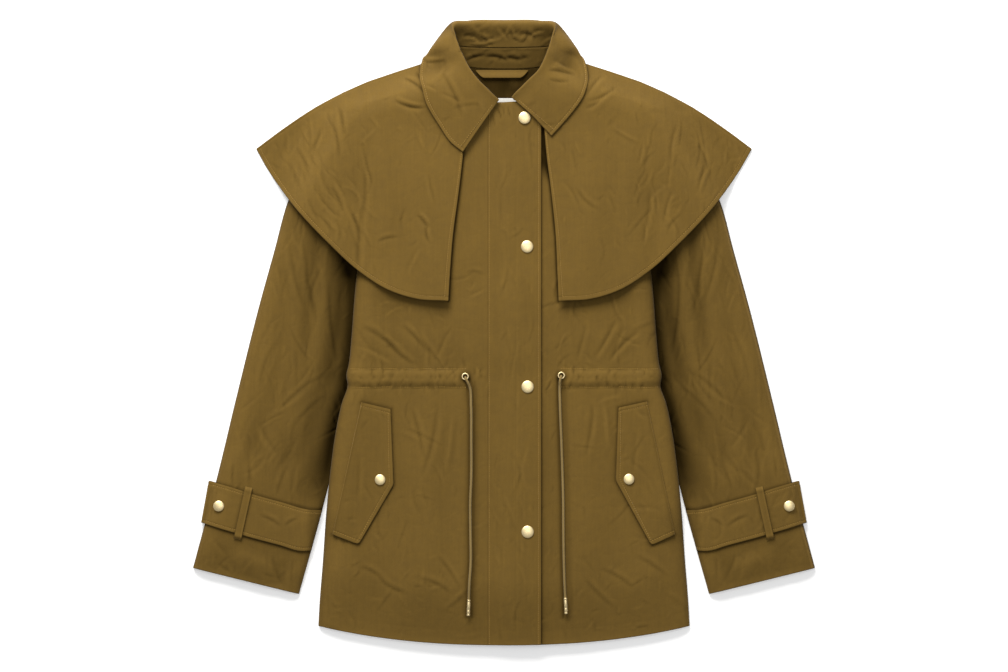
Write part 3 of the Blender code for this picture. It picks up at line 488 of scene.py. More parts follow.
def scattered(seed, box, count, long, wide, deep, lean, spread, trough=0.62):
    """Small creases at seeded places in a box: many short shallow ones and a few longer."""
    rng = np.random.default_rng(seed)
    Row = namedtuple("Row", CREASE_COLUMNS)
    rows = []
    for _ in range(count):
        cx, cy = rng.uniform(box[0], box[1]), rng.uniform(box[2], box[3])
        size = rng.random() ** 2.2
        run = long[0] + (long[1] - long[0]) * size
        width = wide[0] + (wide[1] - wide[0]) * (0.35 * size + 0.65 * rng.random())
        depth = deep[0] + (deep[1] - deep[0]) * (0.5 * size + 0.5 * rng.random())
        angle = math.radians(rng.normal(lean, spread))
        dx, dy = math.cos(angle) * run / 2, math.sin(angle) * run / 2
        sign = -1.0 if rng.random() < trough else 1.0
        rows.append(Row(cx - dx, cy - dy, cx + dx, cy + dy, rng.normal(0, 0.09) * run, width,
                        sign * depth, rng.uniform(0.2, 0.7)))
    return rows


# Broad soft swells: centre, half sizes along and across, turn in degrees, height.
SWELL_COLUMNS = "x y along across lean rise"


def swelled(x, y, rows):
    z = np.zeros_like(x, dtype=float)
    for r in rows:
        a = math.radians(r.lean)
        px, py = x - r.x, y - r.y
        u = (px * math.cos(a) + py * math.sin(a)) / r.along
        v = (-px * math.sin(a) + py * math.cos(a)) / r.across
        z += r.rise * np.exp(-(u * u + v * v))
    return z * SWELL_DEEP


def keep_clear(x, y, places):
    """0 near each place, 1 away from it, so that what is fixed there lies still."""
    k = np.ones_like(x, dtype=float)
    for px, py, inner, outer in places:
        k = k * smooth((np.hypot(x - px, y - py) - inner) / (outer - inner))
    return k


SNAP_SPOTS = [(s.x, s.y, 8.0, 22.0) for s in SNAPS]
EYELET_SPOTS = [(-52.2, -59.4, 6.0, 16.0), (77.1, -58.0, 6.0, 16.0)]

BODY_SWELLS = table(SWELL_COLUMNS,
                    (-120.0, 20.0, 70.0, 26.0, 80.0, 1.1), (-70.0, -20.0, 60.0, 20.0, 100.0, -0.9),
                    (-165.0, -20.0, 60.0, 18.0, 96.0, 0.9), (-110.0, -150.0, 90.0, 22.0, 84.0, 1.2),
                    (-82.0, -240.0, 100.0, 18.0, 92.0, -1.0), (-120.0, -320.0, 70.0, 30.0, 70.0, 1.0),
                    (-180.0, -340.0, 60.0, 26.0, 100.0, -0.9), (-60.0, -330.0, 70.0, 20.0, 95.0, 1.0),
                    (-215.0, -330.0, 50.0, 20.0, 90.0, 0.8), (-20.0, -250.0, 80.0, 16.0, 92.0, -0.7),
                    (120.0, 10.0, 70.0, 24.0, 98.0, 1.1), (160.0, -10.0, 60.0, 18.0, 84.0, -0.8),
                    (100.0, -160.0, 90.0, 20.0, 96.0, 1.1), (135.0, -300.0, 80.0, 24.0, 80.0, -1.0),
                    (190.0, -340.0, 60.0, 28.0, 92.0, 1.1), (95.0, -350.0, 60.0, 22.0, 100.0, 0.9),
                    (225.0, -320.0, 50.0, 18.0, 92.0, -0.6), (65.0, -230.0, 90.0, 14.0, 90.0, -0.8),
                    (10.0, 30.0, 60.0, 18.0, 88.0, 0.8), (0.0, 180.0, 80.0, 20.0, 92.0, 0.7),
                    (20.0, -170.0, 60.0, 16.0, 94.0, 0.6), (0.0, -350.0, 60.0, 18.0, 88.0, 0.7),
                    (-40.0, 70.0, 40.0, 18.0, 40.0, -0.7), (45.0, 70.0, 50.0, 18.0, 120.0, 0.6))


def body_swell(x, y):
    return swelled(x, y, BODY_SWELLS) * keep_clear(x, y, [(s.x, s.y, 10.0, 46.0) for s in SNAPS]) * (
        1.0 - 0.8 * smooth((y - 230.0) / 60.0))


CASING_TOP, CASING_LOW = -49.2, -73.8       # the channel's two stitch lines
PUCKERS = scattered(31, (-214.0, 214.0, -75.0, -52.0), 150, (6.0, 18.0), (1.1, 2.2), (0.12, 0.46),
                    92.0, 22.0)
PUCKERS += scattered(32, (-212.0, 212.0, -94.0, -30.0), 70, (12.0, 30.0), (1.4, 2.6), (0.06, 0.26),
                     90.0, 16.0)


def channel(x, y):
    """The waist channel's own form: cord inside its lower half, stitches above and below."""
    inner = np.where(np.asarray(x) < 0, 48.0, 74.0)
    on = smooth((np.abs(x) - inner) / 8.0)
    wave = 0.8 * np.sin(x / 9.0) + 0.6 * np.sin(x / 5.3 + 1.0)
    bulge = 0.95 * np.exp(-((y + 66.0 - 0.4 * wave) / 4.6) ** 2)
    upper = 0.45 * np.exp(-((y + 55.5) / 4.0) ** 2)
    low = -0.65 * np.exp(-((y - CASING_LOW) / 1.5) ** 2) - 0.55 * np.exp(-((y - CASING_TOP) / 1.4) ** 2)
    ridge = (0.24 + 0.16 * wave / 1.4) * np.exp(-((y + 70.4 - 0.5 * wave) / 1.8) ** 2)
    return on * (bulge + upper + low - ridge)


BODY_CREASES = table(CREASE_COLUMNS,
                     (-190.0, 8.0, -140.0, -28.0, 3.0, 3.0, -0.7, 0.5),
                     (-165.0, -2.0, -118.0, -44.0, -4.0, 2.6, -0.75, 0.5),
                     (-137.0, 10.0, -100.0, -30.0, 2.0, 2.4, -0.65, 0.6),
                     (-118.0, 6.0, -86.0, -40.0, -2.0, 2.2, -0.5, 0.4),
                     (-76.0, 4.0, -95.0, -40.0, 1.0, 2.4, -0.35, 0.4),
                     (-200.0, -20.0, -150.0, -44.0, 2.0, 2.6, 0.5, 0.4),
                     (150.0, 18.0, 120.0, -36.0, 2.0, 2.6, -0.6, 0.5),
                     (182.0, 2.0, 140.0, -40.0, -3.0, 2.6, -0.6, 0.5),
                     (110.0, 12.0, 96.0, -40.0, 1.0, 2.4, -0.4, 0.4),
                     (-125.0, -100.0, -108.0, -170.0, 2.0, 2.8, -0.5, 0.5),
                     (-90.0, -92.0, -112.0, -196.0, 5.0, 3.4, -0.55, 0.5),
                     (-70.0, -110.0, -80.0, -190.0, 2.0, 3.0, 0.4, 0.5),
                     (120.0, -96.0, 108.0, -170.0, 2.0, 2.8, -0.5, 0.5),
                     (132.0, -90.0, 140.0, -160.0, 2.0, 3.0, 0.4, 0.5),
                     (-196.0, -315.0, -160.0, -335.0, 3.0, 2.6, -0.5, 0.5),
                     (-170.0, -330.0, -128.0, -352.0, -3.0, 2.6, -0.55, 0.5),
                     (-120.0, -330.0, -70.0, -352.0, 4.0, 2.8, -0.5, 0.5),
                     (-90.0, -300.0, -58.0, -346.0, 2.0, 2.4, -0.45, 0.5),
                     (-40.0, -330.0, -84.0, -372.0, 3.0, 2.6, 0.5, 0.5),
                     (130.0, -318.0, 176.0, -346.0, 3.0, 2.6, -0.5, 0.5),
                     (108.0, -330.0, 150.0, -372.0, -2.0, 2.6, -0.45, 0.5),
                     (176.0, -300.0, 222.0, -330.0, 2.0, 2.8, -0.45, 0.5))
BODY_SMALL = (scattered(11, (-248.0, 248.0, -420.0, -90.0), 130, (12.0, 60.0), (1.2, 2.5), (0.05, 0.26), 80.0, 46.0)
              + scattered(12, (-210.0, 210.0, -60.0, 90.0), 110, (12.0, 50.0), (1.2, 2.5), (0.06, 0.30), 100.0, 44.0)
              + scattered(13, (-210.0, 210.0, 60.0, 300.0), 40, (14.0, 60.0), (1.4, 2.8), (0.05, 0.22), 90.0, 50.0)
              + scattered(14, (-235.0, 235.0, -415.0, -300.0), 60, (8.0, 26.0), (1.1, 2.0), (0.08, 0.30), 30.0, 50.0))
PLACKET_SMALL = (scattered(21, (-22.0, 50.0, -420.0, 280.0), 64, (14.0, 70.0), (1.2, 2.4), (0.05, 0.24), 92.0, 14.0)
                 + scattered(22, (-22.0, 50.0, -420.0, 280.0), 26, (8.0, 30.0), (1.1, 2.2), (0.06, 0.26), 50.0, 60.0)
                 + table(CREASE_COLUMNS, (-10.0, 303.0, -3.0, 286.0, 1.0, 1.5, -0.55, 0.5),
                         (-2.0, 304.0, 0.0, 290.0, 0.5, 1.4, -0.4, 0.5), (6.0, 304.0, 10.0, 288.0, -1.0, 1.4, -0.4, 0.5),
                         (-18.0, 296.0, -12.0, 276.0, 1.0, 1.6, -0.45, 0.5)))

CORD_LINES = [np.array([(r.x, r.y) for r in rows]) for rows in (CORD_RIGHT, CORD_LEFT)]


def beside_cords(x, y):
    """0 under the cords, 1 away from them."""
    k = np.ones_like(x, dtype=float)
    for line in CORD_LINES:
        at = np.interp(-y, -line[:, 1], line[:, 0])
        off = np.hypot(x - at, np.maximum(0.0, y - line[0, 1]) + np.maximum(0.0, -386.0 - y))
        k = k * (0.25 + 0.75 * smooth((off - 3.0) / 9.0))
    return k


def front_top(x, y):
    """Middle of the fronts with their folds."""
    still = keep_clear(x, y, EYELET_SPOTS) * beside_cords(x, y)
    lower = 1.0 - smooth((y - 60.0) / 60.0) * 0.55
    small = creased(x, y, BODY_SMALL) * lower
    return (front_z(x, y) + body_swell(x, y) + channel(x, y) * keep_clear(x, y, EYELET_SPOTS)
            + (0.72 * creased(x, y, BODY_CREASES) + small + creased(x, y, PUCKERS)) * still)


def front_soft(x, y):
    """The fronts' broad form, which what lies on them follows."""
    return front_z(x, y) + body_swell(x, y)


def placket_top(x, y):
    still = keep_clear(x, y, SNAP_SPOTS)
    seam = -0.25 * np.exp(-((x - PLACKET_SEAM - 1.0) / 1.6) ** 2)
    under = 0.5 * np.exp(-((x - 15.6) / 2.4) ** 2) * (0.35 + 0.65 * np.exp(-((y + 175.0) / 110.0) ** 2))
    step = 0.30 * smooth((x - 15.0) / 3.0) * smooth((x - 15.0) / 3.0)
    return (front_soft(x, y) + placket_rise(x) + seam + under * still + step
            + creased(x, y, PLACKET_SMALL) * still)


SLEEVE_SWELLS = table(SWELL_COLUMNS,
                      (283.0, 60.0, 110.0, 12.0, 99.0, 1.5), (262.0, 50.0, 100.0, 9.0, 97.0, -1.6),
                      (246.0, 30.0, 90.0, 9.0, 95.0, 1.3), (228.0, 0.0, 90.0, 9.0, 97.0, -1.3),
                      (302.0, -20.0, 90.0, 12.0, 104.0, -1.0), (320.0, -60.0, 90.0, 14.0, 104.0, 1.0),
                      (286.0, -110.0, 70.0, 14.0, 104.0, 1.2), (262.0, -120.0, 80.0, 11.0, 104.0, -1.2),
                      (242.0, -120.0, 70.0, 10.0, 104.0, 1.0), (340.0, -150.0, 60.0, 14.0, 104.0, -0.9),
                      (318.0, -170.0, 50.0, 12.0, 100.0, 0.9), (296.0, -180.0, 46.0, 10.0, 100.0, -0.9),
                      (362.0, -180.0, 40.0, 10.0, 104.0, 0.8), (274.0, -190.0, 40.0, 10.0, 104.0, 0.9),
                      (330.0, -318.0, 30.0, 14.0, 70.0, 0.9), (300.0, -322.0, 30.0, 12.0, 110.0, -0.8),
                      (380.0, -300.0, 30.0, 16.0, 80.0, -0.6), (352.0, -300.0, 26.0, 12.0, 100.0, 0.6))
SLEEVE_CREASES = table(CREASE_COLUMNS,
                       (288.0, 120.0, 268.0, 30.0, 4.0, 3.4, -0.8, 0.6),
                       (268.0, 120.0, 252.0, 10.0, 3.0, 3.2, -0.8, 0.6),
                       (250.0, 96.0, 240.0, 20.0, -3.0, 3.0, 0.7, 0.5),
                       (236.0, 70.0, 226.0, -40.0, 3.0, 3.2, -0.8, 0.5),
                       (306.0, -10.0, 330.0, -76.0, 4.0, 3.0, -0.6, 0.5),
                       (246.0, -60.0, 300.0, -104.0, 5.0, 2.8, -0.6, 0.5),
                       (240.0, -84.0, 286.0, -132.0, 4.0, 2.8, -0.55, 0.5),
                       (266.0, -78.0, 318.0, -112.0, -4.0, 2.8, 0.5, 0.5),
                       (330.0, -120.0, 300.0, -168.0, 3.0, 2.8, -0.5, 0.5),
                       (364.0, -176.0, 366.0, -206.0, 1.0, 2.2, -0.8, 0.5),
                       (340.0, -170.0, 344.0, -208.0, 1.0, 2.6, -0.5, 0.5),
                       (292.0, -180.0, 306.0, -222.0, 2.0, 2.4, -0.6, 0.5),
                       (276.0, -176.0, 282.0, -226.0, 2.0, 2.4, 0.6, 0.5),
                       (312.0, -300.0, 296.0, -344.0, 3.0, 2.8, -0.6, 0.5),
                       (282.0, -300.0, 286.0, -346.0, 2.0, 2.4, -0.5, 0.5),
                       (396.0, -266.0, 372.0, -300.0, 2.0, 2.6, -0.45, 0.5),
                       (336.0, -306.0, 352.0, -324.0, 1.0, 2.6, 0.4, 0.5))
SLEEVE_SMALL = (scattered(41, (190.0, 330.0, -60.0, 170.0), 80, (14.0, 70.0), (1.2, 2.6), (0.08, 0.40), 99.0, 16.0)
                + scattered(42, (200.0, 400.0, -230.0, -40.0), 100, (12.0, 56.0), (1.2, 2.6), (0.08, 0.38), 108.0, 24.0)
                + scattered(43, (250.0, 420.0, -350.0, -270.0), 56, (10.0, 40.0), (1.2, 2.4), (0.08, 0.38), 80.0, 40.0))


def sleeve_soft(x, y):
    """The sleeves' broad form; both are alike apart from a shift along the arm."""
    shift = np.where(x < 0, 0.0, 9.0)
    edge = smooth(inside_outline(x, y) / 16.0)
    quiet = 1.0 - 0.85 * strap_zone(x, y) * smooth((above_cuff(x, y) - 30.0) / 20.0)
    return (sleeve_z(x, y) + (FIRM + 0.4) * strap_zone(x, y)
            + 1.25 * swelled(np.abs(x), y - shift, SLEEVE_SWELLS) * edge * quiet)


def sleeve_top(x, y):
    shift = np.where(x < 0, 0.0, 9.0)
    edge = smooth((inside_outline(x, y) - 1.0) / 12.0)
    under_strap = smooth((above_cuff(x, y) - 40.0) / 10.0) * (1.0 - smooth((above_cuff(x, y) - 112.0) / 8.0))
    quiet = (1.0 - 0.9 * under_strap)
    main = creased(np.abs(x), y - shift, SLEEVE_CREASES)
    small = creased(np.where(x < 0, -x, x + 3.0), np.where(x < 0, y, y + 17.0), SLEEVE_SMALL)
    return sleeve_soft(x, y) + (0.42 * main + 0.55 * small) * edge * quiet


CAPE_SWELLS = table(SWELL_COLUMNS,
                    (-120.0, 190.0, 90.0, 30.0, 96.0, 1.0), (-165.0, 200.0, 80.0, 16.0, 94.0, 1.1),
                    (-240.0, 200.0, 60.0, 16.0, 60.0, 1.0), (-262.0, 230.0, 50.0, 12.0, 56.0, -1.0),
                    (-150.0, 120.0, 50.0, 20.0, 70.0, -0.8), (-290.0, 236.0, 36.0, 12.0, 50.0, 0.8),
                    (-100.0, 90.0, 50.0, 24.0, 100.0, 0.8), (-225.0, 270.0, 60.0, 16.0, 30.0, -0.8),
                    (120.0, 190.0, 90.0, 30.0, 84.0, 1.0), (165.0, 200.0, 80.0, 16.0, 86.0, 1.1),
                    (240.0, 200.0, 60.0, 16.0, 120.0, 1.0), (262.0, 230.0, 50.0, 12.0, 124.0, -1.0),
                    (150.0, 130.0, 50.0, 20.0, 110.0, -0.8), (290.0, 236.0, 36.0, 12.0, 130.0, 0.8),
                    (100.0, 90.0, 50.0, 24.0, 80.0, 0.8), (225.0, 270.0, 60.0, 16.0, 150.0, -0.8))
CAPE_CREASES = table(CREASE_COLUMNS,
                     (-116.0, 158.0, -102.0, 140.0, 1.0, 2.2, -0.9, 0.7),
                     (-104.0, 142.0, -100.0, 120.0, -2.0, 2.0, -0.8, 0.6),
                     (-170.0, 122.0, -142.0, 128.0, 2.0, 2.2, -0.6, 0.5),
                     (-134.0, 342.0, -103.0, 318.0, 3.0, 2.4, -1.5, 0.6),
                     (-146.0, 312.0, -104.0, 302.0, -4.0, 2.2, -1.4, 0.6),
                     (-120.0, 352.0, -106.0, 330.0, 1.0, 2.0, -1.0, 0.5),
                     (132.0, 346.0, 110.0, 316.0, -2.0, 2.4, -0.9, 0.5),
                     (150.0, 330.0, 112.0, 310.0, 3.0, 2.4, -0.9, 0.5),
                     (136.0, 318.0, 108.0, 300.0, 2.0, 2.4, -0.7, 0.5),
                     (-232.0, 284.0, -222.0, 232.0, 3.0, 2.6, -0.7, 0.5),
                     (-246.0, 276.0, -262.0, 240.0, 2.0, 2.4, -0.6, 0.5),
                     (-232.0, 196.0, -216.0, 160.0, 2.0, 2.4, -0.7, 0.5),
                     (-204.0, 160.0, -196.0, 132.0, 1.0, 2.4, -0.8, 0.5),
                     (-250.0, 216.0, -236.0, 180.0, -2.0, 2.4, 0.5, 0.5),
                     (-280.0, 250.0, -262.0, 206.0, 3.0, 2.6, -0.5, 0.5),
                     (232.0, 280.0, 224.0, 226.0, -3.0, 2.6, -0.6, 0.5),
                     (260.0, 256.0, 276.0, 214.0, 2.0, 2.4, -0.6, 0.5),
                     (226.0, 190.0, 214.0, 146.0, -2.0, 2.4, -0.6, 0.5),
                     (-187.0, 236.0, -190.0, 150.0, 2.0, 3.2, -0.55, 0.5),
                     (-191.0, 170.0, -197.0, 62.0, -2.0, 3.8, -0.85, 0.5),
                     (96.0, 196.0, 128.0, 164.0, -4.0, 2.6, -0.5, 0.5),
                     (196.0, 196.0, 186.0, 120.0, 2.0, 3.0, -0.5, 0.5))
CAPE_SMALL = (scattered(51, (-330.0, 330.0, 60.0, 330.0), 170, (10.0, 50.0), (1.2, 2.6), (0.05, 0.26), 90.0, 40.0)
              + scattered(52, (-330.0, -180.0, 120.0, 290.0), 60, (14.0, 56.0), (1.2, 2.4), (0.08, 0.34), 108.0, 18.0)
              + scattered(53, (180.0, 330.0, 120.0, 290.0), 60, (14.0, 56.0), (1.2, 2.4), (0.08, 0.34), 72.0, 18.0))


def cape_top(x, y):
    at_collar = smooth((np.hypot(x, (y - 352.0)) - 112.0) / 20.0) * 0.8 + 0.2
    edge = smooth((shoulder_distance(x, y) - 1.0) / 14.0)
    return (cape_z(x, y) + swelled(x, y, CAPE_SWELLS) * edge * at_collar
            + (0.68 * creased(x, y, CAPE_CREASES) + 1.1 * creased(x, y, CAPE_SMALL)) * edge
            * (0.35 + 0.65 * at_collar))


# ---------------------------------------------------------------- materials
def node(tree, kind, **inputs):
    made = tree.nodes.new(kind)
    for key, value in inputs.items():
        made.inputs[key.replace("_", " ")].default_value = value
    return made


def cotton(name, colour, sheen=0.07, rough=0.78, weave=0.00042, shine=0.10):
    """Dense plain-woven cotton: a fine weave, soft mottling, slubs along the warp and crumples."""
    material = bpy.data.materials.new(name)
    material.use_nodes = True
    tree = material.node_tree
    shader = tree.nodes["Principled BSDF"]
    link = tree.links.new
    shader.inputs["Sheen Roughness"].default_value = 0.45
    place = tree.nodes.new("ShaderNodeTexCoord")

    broad = node(tree, "ShaderNodeTexNoise", Scale=11.0, Detail=3.0, Roughness=0.55)
    fine = node(tree, "ShaderNodeTexNoise", Scale=95.0, Detail=4.0, Roughness=0.6)
    fleck = node(tree, "ShaderNodeTexNoise", Scale=1400.0, Detail=2.0, Roughness=0.7)
    for each in (broad, fine, fleck):
        link(place.outputs["Object"], each.inputs["Vector"])
    stretch = tree.nodes.new("ShaderNodeMapping")
    stretch.inputs["Scale"].default_value = (330.0, 22.0, 60.0)
    link(place.outputs["Object"], stretch.inputs["Vector"])
    slub = node(tree, "ShaderNodeTexNoise", Scale=1.0, Detail=3.0, Roughness=0.6)
    link(stretch.outputs["Vector"], slub.inputs["Vector"])

    def ramp(source, low, high, a, b):
        r = tree.nodes.new("ShaderNodeMapRange")
        r.inputs["From Min"].default_value, r.inputs["From Max"].default_value = low, high
        r.inputs["To Min"].default_value, r.inputs["To Max"].default_value = a, b
        link(source, r.inputs["Value"])
        return r.outputs["Result"]

    def both(operation, one, two):
        made = tree.nodes.new("ShaderNodeMath")
        made.operation = operation
        link(one, made.inputs[0])
        if isinstance(two, float):
            made.inputs[1].default_value = two
        else:
            link(two, made.inputs[1])
        return made.outputs[0]

    # painted shading: a per-point attribute of painted shade and painted highlight that multiplies the colour, the
    # specular and the sheen
    painted_shading = tree.nodes.new("ShaderNodeAttribute")
    painted_shading.attribute_name = "painted_shading"
    painted_tone = both("ADD", painted_shading.outputs["Fac"], 1.0)
    tone = both("MULTIPLY", ramp(broad.outputs["Fac"], 0.3, 0.7, 0.945, 1.055),
                ramp(fine.outputs["Fac"], 0.3, 0.7, 0.955, 1.045))
    tone = both("MULTIPLY", tone, ramp(slub.outputs["Fac"], 0.3, 0.7, 0.962, 1.038))
    tone = both("MULTIPLY", tone, ramp(fleck.outputs["Fac"], 0.25, 0.75, 0.92, 1.08))
    mix = tree.nodes.new("ShaderNodeMix")
    mix.data_type = "RGBA"
    mix.blend_type = "MULTIPLY"
    mix.inputs["Factor"].default_value = 1.0
    mix.inputs["A"].default_value = (*colour, 1.0)
    link(both("MULTIPLY", tone, painted_tone), mix.inputs["B"])
    link(mix.outputs["Result"], shader.inputs["Base Color"])
    link(both("MULTIPLY", painted_tone, shine), shader.inputs["Specular IOR Level"])
    link(both("MULTIPLY", painted_tone, sheen), shader.inputs["Sheen Weight"])

    # weave: warp and weft bands, and small crumples over them
    spin = tree.nodes.new("ShaderNodeMapping")
    spin.inputs["Rotation"].default_value = (0.0, 0.0, math.radians(2.0))
    link(place.outputs["Object"], spin.inputs["Vector"])
    bands = []
    for way in ("X", "Y"):
        wave = node(tree, "ShaderNodeTexWave", Scale=2 * math.pi / 20.0 / weave, Distortion=0.6,
                    Detail=1.0)
        wave.wave_type = "BANDS"
        wave.bands_direction = way
        link(spin.outputs["Vector"], wave.inputs["Vector"])
        bands.append(wave.outputs["Fac"])
    cloth_bands = tree.nodes.new("ShaderNodeMath")
    cloth_bands.operation = "MULTIPLY"
    link(bands[0], cloth_bands.inputs[0])
    link(bands[1], cloth_bands.inputs[1])
    weave_bump = node(tree, "ShaderNodeBump", Strength=0.35, Distance=0.00012)
    link(cloth_bands.outputs[0], weave_bump.inputs["Height"])

    warp = node(tree, "ShaderNodeTexNoise", Scale=26.0, Detail=3.0, Roughness=0.6)
    link(place.outputs["Object"], warp.inputs["Vector"])
    bent = tree.nodes.new("ShaderNodeMix")
    bent.data_type = "VECTOR"
    bent.inputs["Factor"].default_value = 0.035
    link(place.outputs["Object"], bent.inputs["A"])
    link(warp.outputs["Color"], bent.inputs["B"])
    cells = tree.nodes.new("ShaderNodeTexVoronoi")
    cells.feature = "DISTANCE_TO_EDGE"
    cells.inputs["Scale"].default_value = 46.0
    link(bent.outputs["Result"], cells.inputs["Vector"])
    fold = ramp(cells.outputs["Distance"], 0.0, 0.16, 0.0, 1.0)
    crumple = node(tree, "ShaderNodeBump", Strength=0.4, Distance=0.00022)
    link(fold, crumple.inputs["Height"])
    link(weave_bump.outputs["Normal"], crumple.inputs["Normal"])
    link(crumple.outputs["Normal"], shader.inputs["Normal"])
    link(ramp(fine.outputs["Fac"], 0.3, 0.7, rough - 0.05, rough + 0.06), shader.inputs["Roughness"])
    return material


def metal(name, colour, rough):
    material = bpy.data.materials.new(name)
    material.use_nodes = True
    tree = material.node_tree
    shader = tree.nodes["Principled BSDF"]
    shader.inputs["Metallic"].default_value = 1.0
    place = tree.nodes.new("ShaderNodeTexCoord")
    haze = node(tree, "ShaderNodeTexNoise", Scale=420.0, Detail=3.0, Roughness=0.6)
    tree.links.new(place.outputs["Object"], haze.inputs["Vector"])
    spread = tree.nodes.new("ShaderNodeMapRange")
    spread.inputs["To Min"].default_value, spread.inputs["To Max"].default_value = rough - 0.06, rough + 0.08
    tree.links.new(haze.outputs["Fac"], spread.inputs["Value"])
    tree.links.new(spread.outputs["Result"], shader.inputs["Roughness"])
    tint = tree.nodes.new("ShaderNodeMix")
    tint.data_type = "RGBA"
    tint.inputs["A"].default_value = (*colour, 1.0)
    tint.inputs["B"].default_value = (colour[0] * 0.86, colour[1] * 0.82, colour[2] * 0.72, 1.0)
    tree.links.new(haze.outputs["Fac"], tint.inputs["Factor"])
    tree.links.new(tint.outputs["Result"], shader.inputs["Base Color"])
    return material


BASE = (0.1215, 0.0708, 0.0134)
COTTON = cotton("parka_cotton", BASE)
# the thread is the cloth's colour, painted 2.3 times lighter as painted highlight on the stitches
THREAD_PAINTED_LIGHT = cotton("parka_thread_painted_light", tuple(2.3 * v for v in BASE), sheen=0.2, rough=0.6, weave=0.0003)
CORDING = cotton("parka_cord", (0.205, 0.140, 0.050), sheen=0.12, weave=0.0005)
TAPE = cotton("label_tape", (0.60, 0.585, 0.55), sheen=0.1, weave=0.0005)
BRASS = metal("pale_brass", (0.86, 0.71, 0.42), 0.47)
# painted shade: a dark disc in each eyelet stands in for the hole's shade, the cloth is not pierced
HOLE_PAINTED_SHADE = bpy.data.materials.new("eyelet_hole_painted_shade")
HOLE_PAINTED_SHADE.use_nodes = True
HOLE_PAINTED_SHADE.node_tree.nodes["Principled BSDF"].inputs["Base Color"].default_value = (0.030, 0.018, 0.006, 1.0)
HOLE_PAINTED_SHADE.node_tree.nodes["Principled BSDF"].inputs["Roughness"].default_value = 0.9
HOLE_PAINTED_SHADE.node_tree.nodes["Principled BSDF"].inputs["Specular IOR Level"].default_value = 0.0

parka = bpy.data.collections.new("parka_looks")
scene.collection.children.link(parka)


# ---------------------------------------------------------------- meshes
def put(name, verts, faces, materials, painted_shading=None, face_material=None):
    mesh = bpy.data.meshes.new(name)
    mesh.from_pydata((np.asarray(verts) * MM).tolist(), [], [tuple(int(i) for i in f) for f in faces])
    mesh.update()
    # per-point painted shade and painted highlight for the cloth's colour
    if painted_shading is not None:
        layer = mesh.attributes.new("painted_shading", "FLOAT", "POINT")
        layer.data.foreach_set("value", np.asarray(painted_shading, np.float32).ravel())
    for material in materials:
        mesh.materials.append(material)
    if face_material is not None:
        mesh.polygons.foreach_set("material_index", np.asarray(face_material, np.int32))
    mesh.shade_smooth()
    piece = bpy.data.objects.new(name, mesh)
    parka.objects.link(piece)
    return piece


def area_of(grid):
    a, b, c, d = grid[:-1, :-1], grid[:-1, 1:], grid[1:, 1:], grid[1:, :-1]
    return 0.5 * float(np.linalg.norm(np.cross(b - a, c - a), axis=-1).sum()
                       + np.linalg.norm(np.cross(c - a, d - a), axis=-1).sum())


def normals_of(grid):
    along = np.gradient(grid, axis=1)
    up = np.gradient(grid, axis=0)
    n = np.cross(along, up)
    size = np.linalg.norm(n, axis=-1, keepdims=True)
    return n / np.maximum(size, 1e-9)


def from_edges(grid):
    """Distance of each point from the first row, last row, first column and last column."""
    down = np.linalg.norm(np.diff(grid, axis=0), axis=-1)
    side = np.linalg.norm(np.diff(grid, axis=1), axis=-1)
    first = np.concatenate([np.zeros((1, grid.shape[1])), np.cumsum(down, axis=0)])
    left = np.concatenate([np.zeros((grid.shape[0], 1)), np.cumsum(side, axis=1)], 1)
    return first, first[-1:] - first, left, left[:, -1:] - left


def seam_puff(d, inset, puff=0.08, groove=0.30):
    """Relief of a sewn edge: a soft roll from the edge to the stitches, and their groove."""
    return (puff * np.sin(math.pi * np.clip(d / inset, 0.0, 1.0)) * (d < inset)
            - groove * np.exp(-((d - inset) / 0.75) ** 2)
            + 0.10 * np.exp(-((d - inset - 2.2) / 1.2) ** 2))


def hollows(grid):
    """Height of each point over the soft mean of its neighbours, in mm: under 0 in a fold."""
    z = grid[..., 2]
    soft = z.copy()
    for _ in range(9):
        wide = np.pad(soft, 1, mode="edge")
        soft = (wide[:-2, 1:-1] + wide[2:, 1:-1] + wide[1:-1, :-2] + wide[1:-1, 2:] + 2 * soft) / 6
    edge = np.minimum.reduce(from_edges(grid))
    return (z - soft) * smooth((edge - 5.0) / 6.0)


# strength of the painted shade in folds and painted highlight on ridges
FOLD_PAINTED_SHADE = 0.42


def shell(grid, thickness, relief=None, painted_shading=None, under=None):
    """Two skins and a rim round a grid of points: closed cloth with softly rounded edges."""
    rows, cols = grid.shape[:2]
    if relief is not None:
        grid = grid + normals_of(grid) * relief[..., None]
    n = normals_of(grid)
    edge = np.minimum.reduce(from_edges(grid))
    half = thickness / 2 * (0.42 + 0.58 * turn(edge / 0.9))[..., None]
    top, low = grid + n * half, grid - n * half
    count = rows * cols
    index = np.arange(count).reshape(rows, cols)
    a, b, c, d = (index[:-1, :-1].ravel(), index[:-1, 1:].ravel(),
                  index[1:, 1:].ravel(), index[1:, :-1].ravel())
    upper = np.stack([a, b, c, d], -1)
    lower = np.stack([d, c, b, a], -1) + count
    rim = []
    for line, turned_round in ((index[0], True), (index[-1], False), (index[:, 0], False),
                               (index[:, -1], True)):
        p, q = line[:-1], line[1:]
        if turned_round:
            p, q = q, p
        rim.append(np.stack([p, q, q + count, p + count], -1))
    faces = np.concatenate([upper, lower, *rim])
    verts = np.concatenate([top.reshape(-1, 3), low.reshape(-1, 3)])
    painted_shading = np.zeros(grid.shape[:2]) if painted_shading is None else painted_shading
    # painted shade in the cloth's folds and painted highlight on its ridges, from its own relief
    painted_shading = painted_shading + np.clip(FOLD_PAINTED_SHADE * hollows(grid), -0.34, 0.12)
    under = painted_shading if under is None else under
    painted_tone = np.concatenate([painted_shading.ravel(), np.broadcast_to(under, painted_shading.shape).ravel()])
    return verts, faces, painted_tone, top, n


